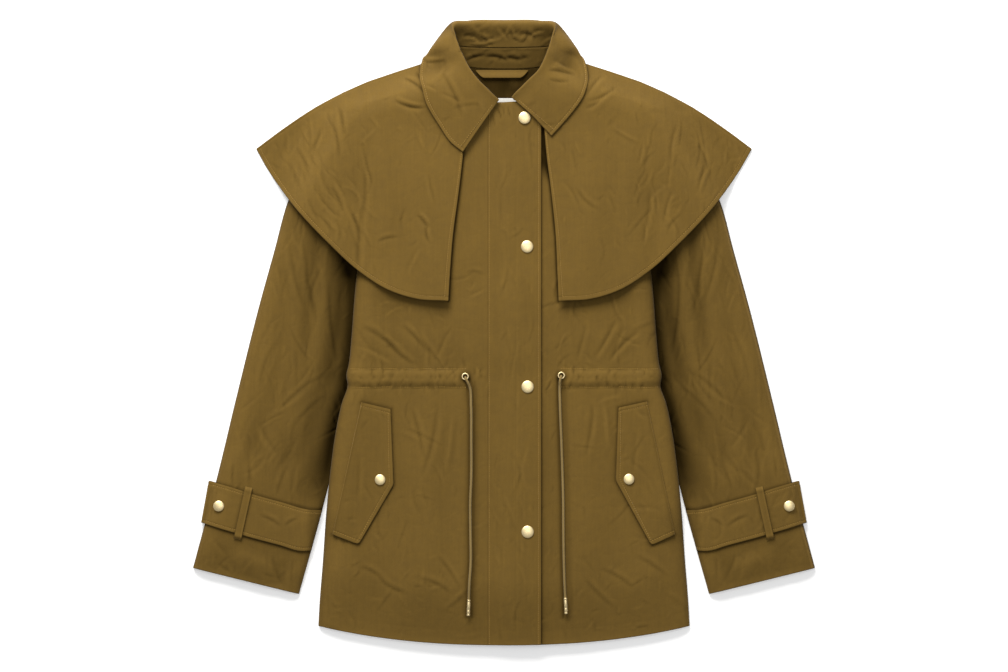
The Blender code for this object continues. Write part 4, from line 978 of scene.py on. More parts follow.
def laid(plan, height):
    x, y = plan[..., 0], plan[..., 1]
    return np.stack([x, y, height(x, y)], -1)


def mirrored(grid):
    return grid * np.array([-1.0, 1.0, 1.0][: grid.shape[-1]])


def settle(piece, nodes, sheet=None):
    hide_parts(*nodes)
    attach(piece, "root")
    if sheet is not None:
        width, length, area = sheet
        area = min(area, 0.99 * width * length)
    return piece


STITCHES = []            # (group, points on the cloth, normals)


def sew(group, points, normals, skip=(0, 0)):
    points, normals = np.asarray(points), np.asarray(normals)
    end = len(points) - skip[1]
    STITCHES.append((group, points[skip[0]:end], normals[skip[0]:end]))


def sew_on(group, line, height, lift):
    """A stitch line on a height function; lift is the cloth's half thickness."""
    line = np.asarray(line, float)
    dense = resample(line, np.linspace(0.0, 1.0, max(8, int(length_of(line) / 1.5))))
    x, y = dense[:, 0], dense[:, 1]
    z = height(x, y)
    n = np.stack([height(x - 0.8, y) - height(x + 0.8, y), height(x, y - 0.8) - height(x, y + 0.8),
                  np.full_like(x, 1.6)], -1)
    n /= np.linalg.norm(n, axis=1, keepdims=True)
    STITCHES.append((group, np.stack([x, y, z], -1) + n * lift, n))


def row_at(shares, length, distance):
    """Index of the share nearest to a distance from the start."""
    return int(np.argmin(np.abs(np.asarray(shares) * length - distance)))


# ---------------------------------------------------------------- the cords, first
def cord_line(rows):
    x0, y0 = rows[0].x, rows[0].y
    ring = np.array([(x0 + EYELET_OUTER / 2 * k * math.cos(a), y0 + EYELET_OUTER / 2 * k * math.sin(a))
                     for k in (0.0, 0.5, 1.0) for a in np.linspace(0, 2 * math.pi, 13)])
    rest = float(np.max(front_z(ring[:, 0], ring[:, 1]))) + CLOTH / 2 + SEAM
    x, y = column(rows, "x"), column(rows, "y")
    z = front_soft(x, y) + CLOTH / 2 + CORD / 2 + column(rows, "lift")
    points = np.stack([x, y, z], -1)
    points[0, 2] = rest + CORD / 2 + 0.3
    return points, rest


def tube(name, line, radius, material, sides=14, twist=0.0, lobes=0, depth=0.0):
    """A closed tube along a line, with a rope's lobes wound round it."""
    tangent = np.gradient(line, axis=0)
    tangent /= np.linalg.norm(tangent, axis=1, keepdims=True)
    side = np.cross(tangent, [0.0, 0.0, 1.0])
    side[np.linalg.norm(side, axis=1) < 1e-6] = (1.0, 0.0, 0.0)
    side /= np.linalg.norm(side, axis=1, keepdims=True)
    up = np.cross(side, tangent)
    run = np.concatenate([[0.0], np.cumsum(np.linalg.norm(np.diff(line, axis=0), axis=1))])
    angle = np.linspace(0.0, 2 * math.pi, sides + 1)[:-1]
    r = radius * (1.0 + depth * np.cos(lobes * (angle[None] + twist * run[:, None])))
    ends = np.minimum(run, run[-1] - run)
    r = r * (0.45 + 0.55 * turn(ends / (radius * 0.6)))[:, None]
    ring = (line[:, None] + r[..., None] * (np.cos(angle)[None, :, None] * side[:, None]
                                            + np.sin(angle)[None, :, None] * up[:, None]))
    rows = len(line)
    verts = list(ring.reshape(-1, 3)) + [line[0], line[-1]]
    index = np.arange(rows * sides).reshape(rows, sides)
    nxt = np.roll(index, -1, axis=1)
    faces = np.stack([index[:-1].ravel(), index[1:].ravel(), nxt[1:].ravel(), nxt[:-1].ravel()], -1).tolist()
    for k in range(sides):
        faces.append([rows * sides, index[0, k], nxt[0, k]])
        faces.append([rows * sides + 1, nxt[-1, k], index[-1, k]])
    return put(name, np.array(verts), faces, [material])


def revolve(profile, steps):
    """Turn (radius, height) points, top to bottom, about Z; closed at the axis or as a ring."""
    profile = np.asarray(profile, float)
    verts, rings = [], []
    for r, z in profile:
        if r < 1e-9:
            rings.append([len(verts)] * steps)
            verts.append((0.0, 0.0, z))
        else:
            rings.append(list(range(len(verts), len(verts) + steps)))
            verts += [(r * math.cos(a), r * math.sin(a), z)
                      for a in np.linspace(0, 2 * math.pi, steps + 1)[:-1]]
    pairs = list(zip(rings, rings[1:]))
    if profile[0, 0] > 1e-9:
        pairs.append((rings[-1], rings[0]))
    faces = []
    for one, two in pairs:
        for k in range(steps):
            j = (k + 1) % steps
            loop = [one[k], two[k], two[j], one[j]]
            clean = [v for i, v in enumerate(loop) if v != loop[i - 1]]
            if len(clean) >= 3:
                faces.append(clean)
    return np.array(verts), faces


cord_facts = {}
for side_name, rows in (("right", CORD_RIGHT), ("left", CORD_LEFT)):
    keyed, rest = cord_line(rows)
    dense = through(keyed, np.linspace(0.0, 1.0, 900))
    line = resample(dense, np.linspace(0.0, 1.0, 330))
    piece = tube("cord_" + side_name, line, CORD / 2 * 0.96, CORDING, sides=14, twist=0.55, lobes=5,
                 depth=0.055)
    way = (line[-1] - line[-2]) / np.linalg.norm(line[-1] - line[-2])
    start = line[-1] - way * 1.2
    r, long = FERRULE / 2, FERRULE_LENGTH
    profile = [(0.0, 0.0), (r - 0.55, 0.0), (r - 0.12, 0.25), (r, 0.8), (r, 2.2), (r - 0.3, 2.7),
               (r - 0.3, 3.3), (r, 3.8), (r, 7.6), (r - 0.22, 8.0), (r - 0.22, 8.6), (r, 9.0),
               (r, long - 3.6), (r - 0.3, long - 3.1), (r - 0.3, long - 2.6), (r, long - 2.1),
               (r, long - 0.8), (r - 0.15, long - 0.3), (r - 0.6, long), (0.0, long)]
    verts, faces = revolve([(a, long - b) for a, b in profile], 28)
    middle = start + way * long / 2
    floor = float(np.max(front_soft(np.array([start[0], middle[0]]), start[1] - np.arange(0, 24, 12))))
    start[2] = max(start[2], floor + CLOTH / 2 + r + 0.3)
    turn_to = Vector(way).to_track_quat("Z", "Y").to_matrix()
    verts = verts @ np.array(turn_to).T + start
    tip = put("ferrule_tip_" + side_name, verts, faces, [BRASS])
    tip.data.set_sharp_from_angle(angle=math.radians(40.0))
    settle(piece, ["drawcord_" + side_name])
    settle(tip, ["ferrule_" + side_name])
    long_cord = length_of(line)
    cord_facts[side_name] = (line[0], long_cord, rest)

# ---------------------------------------------------------------- body
STEP = 2.5
HIDDEN = 6.0

side_y = np.linspace(SIDE[0].y, SIDE[-1].y, 500)
side_line = np.stack([half_at(SIDE, side_y), side_y], -1)
arm_line = through([(row.half, row.y) for row in ARMHOLE], np.linspace(0, 1, 300))
body_edge = np.concatenate([side_line, arm_line[1:]])
shoulder_line = through([(row.half, row.y) for row in OUTER[-3:]], np.linspace(0, 1, 200))


def body_plan(inner_x, neck, step, first=PLAIN, hem=PLAIN):
    neck_x, neck_y = column(neck, "x"), column(neck, "y")
    inner_top = np.interp(inner_x, neck_x, neck_y)
    points = [(inner_x, inner_top)] + [(row.x, row.y) for row in neck if row.x > inner_x + 4.0]
    top = np.concatenate([through(points, np.linspace(0, 1, 200)), shoulder_line[::-1][1:]])
    across = marks(body_edge[0, 0] - inner_x, step, first, PLAIN)
    up = marks(length_of(body_edge), step, hem, PLAIN)
    top = resample(top, across)
    right = resample(body_edge, up)
    hem_x = inner_x + (body_edge[0, 0] - inner_x) * across
    low = np.stack([hem_x, hem_y(hem_x)], -1)
    low[-1] = right[0]
    hem_low = hem_y(inner_x)
    inner = np.stack([np.full(len(up), inner_x), hem_low + (inner_top - hem_low) * up], -1)
    return coons(low, top, inner, right), across, up


def cloth(name, grid, thickness, material, nodes, relief=None, painted_shading=None,
          flat=None, under=None):
    verts, faces, painted_tone, top, n = shell(grid, thickness, relief, painted_shading, under)
    piece = put(name, verts, faces, [material], painted_shading=painted_tone)
    span = grid.reshape(-1, 3).max(0) - grid.reshape(-1, 3).min(0)
    size = flat or (float(span[0]), float(span[1]))
    settle(piece, nodes, (size[0], size[1], area_of(grid)))
    return piece, top, n


# back, under everything: only small creases, so that it lies flat
half_back, across, up = body_plan(0.0, BACK_NECK, HIDDEN, first=())
back_plan = np.concatenate([mirrored(half_back)[:, ::-1][:, :-1], half_back], 1)
BACK_SMALL = scattered(61, (-240.0, 240.0, -420.0, 350.0), 160, (30.0, 90.0), (4.0, 7.0), (0.05, 0.16), 90.0, 40.0, 0.2)


def back_top(x, y):
    return body_back_z(x, y) + np.clip(creased(x, y, BACK_SMALL), -0.1, 0.35)


back_grid = laid(back_plan, back_top)
# painted shade: the back's inside, seen through the neck, is painted 80 % darker
cloth("cloth_back", back_grid, CLOTH, COTTON, ["back_panel"],
      painted_shading=np.full(back_grid.shape[:2], -0.80), under=0.0)


def shade_under_cape(x, y):
    """The cape's soft shade on what lies below its hem."""
    d = np.maximum(cape_reach(x, y), 0.0)
    return -0.36 * np.exp(-(d / 17.0)) * smooth((np.abs(x) - 70.0) / 14.0)


def off_line(x, y, line):
    """Distance of points from a line of straight runs."""
    best = np.full(np.shape(x), 1e6)
    for (ax, ay), (bx, by) in zip(line[:-1], line[1:]):
        dx, dy = bx - ax, by - ay
        q = np.clip(((x - ax) * dx + (y - ay) * dy) / (dx * dx + dy * dy), 0.0, 1.0)
        best = np.minimum(best, np.hypot(x - ax - q * dx, y - ay - q * dy))
    return best


FLAP_EDGES = [np.array([(r.x, r.y) for r in rows]) for rows in (FLAP_RIGHT, FLAP_LEFT)]
STRAP_EDGES = [np.array([(r.x, r.y) for r in rows]) for rows in (STRAP_TOP, STRAP_BOTTOM)]


CAPE_FRONT_EDGES = [np.array([(sign * getattr(r, side), r.y) for r in CAPE_EDGE])
                    for sign, side in ((-1.0, "right"), (1.0, "left"))]


def shade_by_cape_edges(x, y):
    """A thin line of shade where the cape's front edges lie on the fronts."""
    out = np.zeros_like(x, dtype=float)
    for line in CAPE_FRONT_EDGES:
        out -= 0.80 * np.exp(-(off_line(x, y, line) / 2.5) ** 2)
    return out


def shade_by_flaps(x, y):
    """Contact shade round the pocket flaps' free edges, broad below them."""
    out = np.zeros_like(x, dtype=float)
    for line in FLAP_EDGES:
        d = off_line(x, y, line)
        out -= 0.42 * np.exp(-(d / 2.6) ** 2) + 0.10 * np.exp(-(d / 7.0) ** 2)
    return out


def shade_by_strap(x, y):
    above, below = [off_line(np.abs(x), y, line) for line in STRAP_EDGES]
    return -0.40 * np.exp(-(above / 2.8) ** 2) - 0.44 * np.exp(-(below / 3.2) ** 2) - 0.12 * np.exp(-(below / 9.0) ** 2)


def shade_at_sides(x, y):
    inside = half_at(SIDE, np.minimum(y, 86.0)) - np.abs(x)
    return -0.16 * np.exp(-(np.maximum(inside, 0.0) / 14.0))


def shade_by_body(x, y):
    """The sleeve's inner fold, deep beside the body."""
    beside = np.abs(x) - half_at(SIDE, np.clip(y, -396.0, 86.0))
    along = smooth((y + 330.0) / 160.0)
    return -0.75 * along * np.exp(-(np.maximum(beside - 6.0, 0.0) / 26.0) ** 1.15)


def shade_by_placket(x, y):
    """The underlap in the slit beside the placket's free edge."""
    beside = np.maximum(x - PLACKET_EDGE, 0.0)
    slit = (np.exp(-(beside / 1.9) ** 1.5) * 0.42
            + np.exp(-beside / 6.5) * 0.26 * (0.3 + 0.7 * smooth((-40.0 - y) / 160.0)))
    deep = smooth((y - 196.0) / 34.0) * smooth(1.0 - (x - 72.0) / 20.0)
    return -np.maximum(slit, 0.86 * deep) * (x > 20.0)


def shade_by_cords(x, y):
    out = np.zeros_like(x, dtype=float)
    for line in CORD_LINES:
        at = np.interp(-y, -line[:, 1], line[:, 0])
        on = smooth((line[0, 1] - y + 4.0) / 8.0) * smooth((y + 388.0) / 6.0)
        off = x - at
        before, after = (0.46, 0.46) if line[0, 0] < 0 else (0.58, 0.20)
        out -= on * (0.10 * np.exp(-(off / 2.0) ** 2)
                     + before * np.exp(-((off + 2.9) / 1.9) ** 2) + 0.16 * np.exp(-((off + 5.6) / 2.8) ** 2)
                     + after * np.exp(-((off - 3.8) / 2.3) ** 2) + 0.18 * np.exp(-((off - 7.2) / 3.2) ** 2))
        ring = np.hypot(x - line[0, 0], y - line[0, 1])
        out -= 0.34 * np.exp(-((ring - 6.0) / 2.6) ** 2)
    return out


def level_edge(d, thickness):
    """Relief that keeps a seam's edge level with its neighbour instead of rounded."""
    return thickness / 2 * 0.58 * (1.0 - turn(d / 0.9))


def painted_edge_shading(d, width, amount):
    """A painted highlight along the cloth's edge, with a painted dark rim of shade where the cloth turns under."""
    return 0.5 * amount * np.exp(-((d - 1.6) / width) ** 2) - 1.6 * abs(amount) * np.exp(-(d / 0.55) ** 2)


for side_name, inner_x, flip in (("right", -PLACKET_SEAM + SEAM / 2, True), ("left", UNDERLAP_EDGE, False)):
    plan, across, up = body_plan(inner_x, FRONT_NECK, STEP)
    if flip:
        plan = mirrored(plan)[:, ::-1]
    grid = laid(plan, front_top)
    hem_d, _, a, b = from_edges(grid)
    side_d = a if flip else b
    # painted highlight and shade along the hem and side, then painted shade under the cape, at the sides, beside the
    # placket, the cords, the flaps and the cape's edges
    painted_shading = painted_edge_shading(hem_d, 1.6, 0.16) + painted_edge_shading(side_d, 1.6, 0.10)
    gx, gy = grid[..., 0], grid[..., 1]
    painted_shading = (painted_shading + shade_under_cape(gx, gy) + shade_at_sides(gx, gy) + shade_by_placket(gx, gy)
            + shade_by_cords(gx, gy) + shade_by_flaps(gx, gy) + shade_by_cape_edges(gx, gy))
    painted_shading = np.maximum(painted_shading, -0.9)
    relief = 0.16 * np.exp(-((hem_d - 3.0) / 2.2) ** 2) - 0.12 * np.exp(-((hem_d - 21.0) / 1.6) ** 2)
    if flip:
        relief = relief + level_edge(b, CLOTH)
    cloth("cloth_front_" + side_name, grid, CLOTH, COTTON, ["front_" + side_name], relief=relief,
          painted_shading=painted_shading)

# placket band: edge stitch by the free edge, seam stitch on the other side
EDGE_STITCH = 4.0
band_width = PLACKET_EDGE - PLACKET_SEAM - SEAM / 2
band_across = marks(band_width, 2.0, (0.22, 0.7, 1.2, 1.8, 2.6, 3.6), sewn(EDGE_STITCH))
band_x = PLACKET_SEAM + SEAM / 2 + band_width * band_across
band_t = marks(730.0, 2.6, PLAIN, (0.22, 0.7, 1.6, 2.6, 3.4, 4.2, 5.4))
band_top = np.interp(band_x, [0.0, 30.0, 50.0], [309.2, 311.0, 317.0])
band_plan = np.stack([np.broadcast_to(band_x, (len(band_t), len(band_x))),
                      hem_y(band_x)[None] + band_t[:, None] * (band_top - hem_y(band_x))[None]], -1)
grid = laid(band_plan, placket_top)
hem_d, top_d, left_d, right_d = from_edges(grid)
relief = (seam_puff(right_d, EDGE_STITCH, 0.05, 0.26) + 0.12 * np.exp(-((hem_d - 3.0) / 2.2) ** 2)
          + level_edge(left_d, BAND))
# painted highlight and shade along the edges, and painted shade along the line where the underlap's edge lies beneath
# the placket
painted_shading = painted_edge_shading(right_d, 1.3, 0.12) + painted_edge_shading(hem_d, 1.6, 0.16) + painted_edge_shading(top_d, 1.4, 0.2)
painted_shading = painted_shading - 0.13 * np.exp(-((grid[..., 0] - 15.2) / 1.3) ** 2) * (
    0.25 + 0.75 * np.exp(-((grid[..., 1] + 175.0) / 120.0) ** 2))
_, top, n = cloth("cloth_placket", grid, BAND, COTTON, ["front_placket"], relief=relief, painted_shading=painted_shading)
k = row_at(1.0 - band_across, band_width, EDGE_STITCH)
sew("placket", top[:, k], n[:, k], (2, 2))
k = row_at(band_across, band_width, 1.8)
sew("placket", top[:, k], n[:, k], (2, 8))

# ---------------------------------------------------------------- sleeves
UNDERARM_ACROSS = 115.0


def sleeve_plan(step, across):
    cuff_rows = marks(length_of([cuff_inner, (INNER[-1].half, INNER[-1].y)]), step, PLAIN, ())
    arm_rows = marks(length_of(arm_line), step)
    inner_y = cuff_inner[1] + (INNER[-1].y - cuff_inner[1]) * cuff_rows
    inner_line = np.stack([half_at(INNER, inner_y), inner_y], -1)
    arm_seam = resample(arm_line, arm_rows) + np.array([SEAM, 0.0])
    arm_seam[:, 0] += 0.2 * np.exp(-((arm_seam[:, 1] - 86.0) / 16.0) ** 2)
    inner_line[:, 0] += 0.2 * np.exp(-((inner_line[:, 1] - 86.0) / 16.0) ** 2)
    inner_side = np.concatenate([inner_line[:-1], arm_seam])
    outer_y = np.concatenate([(cuff_outer[1] + (UNDERARM_ACROSS - cuff_outer[1]) * cuff_rows)[:-1],
                              UNDERARM_ACROSS + (ARMHOLE[-1].y - UNDERARM_ACROSS) * arm_rows])
    outer_side = np.stack([outline(outer_y), outer_y], -1)
    outer_side[:, 0] += 2.4 * smooth((outer_y - 290.0) / 24.0)
    return outer_side[:, None] + (inner_side - outer_side)[:, None] * across[None, :, None]


def sleeve_under(x, y):
    return back_z(x, y) + (FIRM + 0.4) * strap_zone(x, y)


fine_sleeve = sleeve_plan(2.3, marks(146.0, 2.2, (0.22, 0.7, 1.4, 2.4, 3.8, 5.6, 7.8), PLAIN))
rough_sleeve = sleeve_plan(HIDDEN, marks(146.0, 5.0, PLAIN, PLAIN))
for side_name in ("right", "left"):
    plan = fine_sleeve if side_name == "left" else mirrored(fine_sleeve)
    plan = plan[:, ::-1] if side_name == "left" else plan
    under = rough_sleeve[:, ::-1] if side_name == "left" else mirrored(rough_sleeve)
    cloth("cloth_sleeve_under_" + side_name, laid(under, sleeve_under), CLOTH, COTTON,
          ["sleeve_%s_under" % side_name])
    grid = laid(plan, sleeve_top)
    cuff_d, _, a, b = from_edges(grid)
    outer_d = a if side_name == "right" else b
    relief = 0.14 * np.exp(-((cuff_d - 2.6) / 2.0) ** 2)
    # painted highlight along the fold inside the outer edge, with a painted dark rim at the edge itself
    painted_fold_light = 0.48 if side_name == "left" else 0.14
    rim = inside_outline(grid[..., 0], grid[..., 1])
    # painted highlight and shade along the cuff and outer edge, the whole sleeve painted 9 % darker as painted shade,
    # and painted shade under the cape, beside the body and round the strap
    painted_shading = (painted_edge_shading(cuff_d, 1.5, 0.14) + painted_edge_shading(outer_d, 1.6, 0.06) - 0.09
            + painted_fold_light * (np.exp(-((rim - 3.2) / 1.1) ** 2) - 0.8 * np.exp(-(rim / 1.5) ** 2))
            + shade_under_cape(grid[..., 0], grid[..., 1]) + shade_by_body(grid[..., 0], grid[..., 1])
            + shade_by_strap(grid[..., 0], grid[..., 1]))
    painted_shading = np.maximum(painted_shading, -0.86)
    cloth("cloth_sleeve_top_" + side_name, grid, CLOTH, COTTON, ["sleeve_%s_top" % side_name],
          relief=relief, painted_shading=painted_shading)

# ---------------------------------------------------------------- cuff straps and loops
STRAP_STITCH = 4.2
strap_up = marks(56.0, 2.0, sewn(STRAP_STITCH), sewn(STRAP_STITCH))
strap_across = marks(156.0, 2.0, PLAIN, (1.2, 2.4, 3.6, 4.8, 6.0))
STRAP_CREASES = table(CREASE_COLUMNS, (300.0, -262.0, 330.0, -246.0, 2.0, 2.4, -0.35, 0.5),
                      (276.0, -250.0, 296.0, -262.0, 2.0, 2.2, -0.3, 0.5),
                      (390.0, -214.0, 394.0, -246.0, 1.0, 2.0, -0.35, 0.5))
STRAP_SMALL = scattered(71, (250.0, 400.0, -295.0, -205.0), 46, (10.0, 36.0), (1.6, 3.0), (0.06, 0.26), 100.0, 50.0)


def strap_plan():
    upper = through([(r.x, r.y) for r in STRAP_TOP], strap_across)
    lower = through([(r.x, r.y) for r in STRAP_BOTTOM], strap_across)
    return lower[None] + (upper - lower)[None] * strap_up[:, None, None]


def strap_grid(mirror):
    plan = strap_plan()
    x, y = plan[..., 0], plan[..., 1]
    signed = -x if mirror else x
    limit = outline(y) - 5.0
    lim = np.where(x > limit, limit, x)
    over = sleeve_soft(-lim if mirror else lim, y) + STRAP_RISE
    beyond = smooth((x - limit) / (x.max(axis=1, keepdims=True) - limit).clip(1.0))
    under = back_z(x, y) - CLOTH / 2 + FIRM / 2
    over = over * (1 - beyond) + (under + LAP + 5.4) * beyond
    over = over + (creased(x, y, STRAP_CREASES) + creased(signed * (1 if mirror else -1) + 640.0 * (not mirror),
                                                         y, STRAP_SMALL)) * (1 - beyond)
    face = np.stack([x, y, over], -1)
    last = face[:, -1]
    low = under[:, -1]
    turns = []
    for a in np.linspace(0.0, math.pi, 9)[1:-1]:
        bend = last.copy()
        bend[:, 0] += 1.5 * math.sin(a)
        bend[:, 2] = low + (last[:, 2] - low) * (1 + math.cos(a)) / 2
        turns.append(bend)
    turns = np.stack(turns, 1)
    below = np.stack([x, y, under], -1)[:, ::-1][:, ::2]
    if (below[:, -1] != np.stack([x, y, under], -1)[:, 0]).any():
        below = np.concatenate([below, np.stack([x, y, under], -1)[:, :1]], 1)
    return np.concatenate([face, turns, below], 1), len(strap_across)


for side_name, mirror in (("right", True), ("left", False)):
    grid, shown = strap_grid(mirror)
    low_d, up_d, start_d, _ = from_edges(grid)
    relief = seam_puff(low_d, STRAP_STITCH) + seam_puff(up_d, STRAP_STITCH)
    # painted highlight and shade along the strap's edges, painted shade beside the loop and painted shade on the
    # strap's end near the body
    painted_shading = painted_edge_shading(low_d, 1.3, 0.22) + painted_edge_shading(up_d, 1.3, 0.22)
    beside_loop = off_line(grid[..., 0], grid[..., 1], np.array([LOOP_TOP, LOOP_BOTTOM])) - LOOP_WIDTH / 2
    painted_shading = painted_shading - 0.34 * np.exp(-(beside_loop / 2.2) ** 2) - 0.30 * smooth((268.0 - grid[..., 0]) / 10.0)
    if mirror:
        grid, relief, painted_shading = mirrored(grid)[:, ::-1], relief[:, ::-1], painted_shading[:, ::-1]
    _, top, n = cloth("cloth_strap_" + side_name, grid, FIRM, COTTON, ["cuff_strap_" + side_name],
                      relief=relief, painted_shading=painted_shading,
                      flat=(56.0, 330.0))
    for k in (row_at(strap_up, 56.0, STRAP_STITCH), row_at(1.0 - strap_up, 56.0, STRAP_STITCH)):
        if mirror:
            sew("cuffs", top[k, ::-1][:shown - 4][::-1], n[k, ::-1][:shown - 4][::-1])
        else:
            sew("cuffs", top[k, :shown - 4], n[k, :shown - 4])


def loop_grid(mirror):
    rows = table("share rise", (-0.062, LOOP_END), (-0.044, LOOP_END + 0.7), (-0.016, LOOP_RISE),
                 (0.06, LOOP_RISE), (0.35, LOOP_RISE), (0.65, LOOP_RISE), (0.94, LOOP_RISE),
                 (1.016, LOOP_RISE), (1.044, LOOP_END + 0.7), (1.062, LOOP_END))
    shares, rises = column(rows, "share"), column(rows, "rise")
    a, b = np.array(LOOP_BOTTOM), np.array(LOOP_TOP)
    length = float(np.linalg.norm(b - a))
    at = -0.062 + 1.124 * marks(1.124 * length, 1.6, (0.3, 0.8, 1.6, 2.4, 3.4), (0.3, 0.8, 1.6, 2.4, 3.4))
    rise = soft_curve(shares, rises, at)
    side = np.array([b[1] - a[1], a[0] - b[0]]) / length
    across = (marks(LOOP_WIDTH, 1.0, (0.3, 0.8, 1.5, 2.2), (0.3, 0.8, 1.5, 2.2)) - 0.5) * LOOP_WIDTH
    plan = a + (b - a) * at[:, None, None] + side * across[None, :, None]
    z = sleeve_soft(-plan[..., 0] if mirror else plan[..., 0], plan[..., 1]) + rise[:, None]
    return np.concatenate([plan, z[..., None]], -1)


for side_name, mirror in (("right", True), ("left", False)):
    grid = loop_grid(mirror)
    _, _, a, b = from_edges(grid)
    d = np.minimum(a, b)
    relief = 0.2 * np.exp(-((d - 1.0) / 0.7) ** 2) - 0.25 * np.exp(-((d - 2.2) / 0.5) ** 2)
    # painted highlight and shade along the loop's edges
    painted_shading = painted_edge_shading(d, 1.0, 0.3)
    if mirror:
        grid, relief, painted_shading = mirrored(grid)[:, ::-1], relief[:, ::-1], painted_shading[:, ::-1]
    cloth("cloth_loop_" + side_name, grid, CLOTH, COTTON, ["cuff_loop_" + side_name], relief=relief,
          painted_shading=painted_shading, flat=(LOOP_WIDTH, 79.0))


# ---------------------------------------------------------------- pocket flaps
def rounded(points, radii):
    """An open line through points, each inner one rounded by its radius."""
    points = [np.asarray(p, float) for p in points]
    out = [points[0][None]]
    for prev, p, nxt, r in zip(points, points[1:], points[2:], radii):
        u, v = (prev - p) / np.linalg.norm(prev - p), (nxt - p) / np.linalg.norm(nxt - p)
        q = np.linspace(0.0, 1.0, 9)[:, None]
        out.append((1 - q) ** 2 * (p + u * r) + 2 * q * (1 - q) * p + q**2 * (p + v * r))
    return np.concatenate(out + [points[-1][None]])


FLAP_STITCH = 5.6
FLAP_SMALL = scattered(81, (-235.0, 235.0, -290.0, -90.0), 130, (12.0, 50.0), (1.6, 3.0), (0.06, 0.26), 95.0, 40.0)
FLAP_SMALL += table(CREASE_COLUMNS, (-204.0, -94.0, -186.0, -99.0, 1.0, 1.8, -0.3, 0.5),
                    (-196.0, -160.0, -200.0, -230.0, 2.0, 3.0, -0.22, 0.5),
                    (176.0, -130.0, 168.0, -230.0, 2.0, 3.0, -0.22, 0.5))


def flap_height(x, y):
    inside = half_at(SIDE, y) - np.abs(x)
    return front_soft(x, y) + FLAP_RISE + 1.6 * smooth(1.0 - inside / 40.0)


for side_name, corners in (("right", FLAP_RIGHT), ("left", FLAP_LEFT)):
    a, b, c, d, e = [np.array([abs(r.x), r.y]) for r in corners]
    arc = 5.0                                # the rounded lower corner is shared by two sides
    low_way, side_way = (d - e) / np.linalg.norm(d - e), (c - d) / np.linalg.norm(c - d)
    p, q = d - low_way * arc, d + side_way * arc
    mid = (p + 2 * d + q) / 4
    top_way = (b - a) / np.linalg.norm(b - a)
    down_way = (c - b) / np.linalg.norm(c - b)
    tip = (b - top_way * 1.6 + 2 * b + b + down_way * 1.6) / 4
    right_side = rounded([mid, q, c, b + down_way * 1.6, tip], (2.4, 3.4, 0.8))
    left_side = np.stack([e, a])
    bottom = rounded([e, p, mid], (2.4,))
    upper = rounded([a, b - top_way * 1.6, tip], (0.8,))
    flap_across = marks(62.0, 2.1, PLAIN, sewn(FLAP_STITCH))
    flap_up = marks(200.0, 2.1, sewn(FLAP_STITCH), sewn(FLAP_STITCH))
    plan = coons(resample(bottom, flap_across), resample(upper, flap_across),
                 resample(left_side, flap_up), resample(right_side, flap_up))
    plan = plan if a[0] * (1 if side_name == "left" else -1) > 0 else mirrored(plan)
    # from the hinge to the free edge runs towards the middle of the coat
    x, y = plan[..., 0], plan[..., 1]
    still = keep_clear(x, y, SNAP_SPOTS)
    z = flap_height(x, y) + creased(x, y, FLAP_SMALL) * still
    grid = np.stack([x, y, z], -1)
    low_d, top_d, hinge_d, free_d = from_edges(grid)
    relief = (seam_puff(low_d, FLAP_STITCH) + seam_puff(top_d, FLAP_STITCH) + seam_puff(free_d, FLAP_STITCH)
              - 0.5 * np.exp(-(hinge_d / 2.4) ** 2))
    # painted highlight and shade along the free edges; along the hinge the same mark reversed, a painted band of shade
    # with a painted light rim
    painted_shading = (painted_edge_shading(low_d, 1.3, 0.22) + painted_edge_shading(top_d, 1.3, 0.22) + painted_edge_shading(free_d, 1.3, 0.22)
            - painted_edge_shading(hinge_d, 1.8, 0.35))
    flip = side_name == "left"                # keep the outside of the cloth up
    if flip:
        grid, relief, painted_shading = grid[:, ::-1], relief[:, ::-1], painted_shading[:, ::-1]
    _, top, n = cloth("cloth_flap_" + side_name, grid, FIRM, COTTON, ["pocket_flap_" + side_name],
                      relief=relief, painted_shading=painted_shading, flat=(82.0, 195.0))
    column_at = row_at(1.0 - flap_across, 62.0, FLAP_STITCH)
    column_at = len(flap_across) - 1 - column_at if flip else column_at
    low_row, top_row = row_at(flap_up, 200.0, FLAP_STITCH), row_at(1.0 - flap_up, 200.0, FLAP_STITCH)
    sew("flaps", top[low_row:top_row + 1, column_at], n[low_row:top_row + 1, column_at])
    for k in (low_row, top_row):
        span = slice(column_at, None) if flip else slice(0, column_at + 1)
        sew("flaps", top[k, span], n[k, span])

# ---------------------------------------------------------------- cape
CAPE_STITCH = 5.4


def cape_hem_line(rows, start, shares):
    angles = start + (rows[-1].degrees - start) * np.linspace(0.0, 1.0, 400)
    radius = soft_curve(column(rows, "degrees"), column(rows, "radius"), angles)
    angles = np.radians(angles)
    line = np.stack([radius * np.sin(angles), NECK_CENTRE_Y - radius * np.cos(angles)], -1)
    return resample(line, shares)


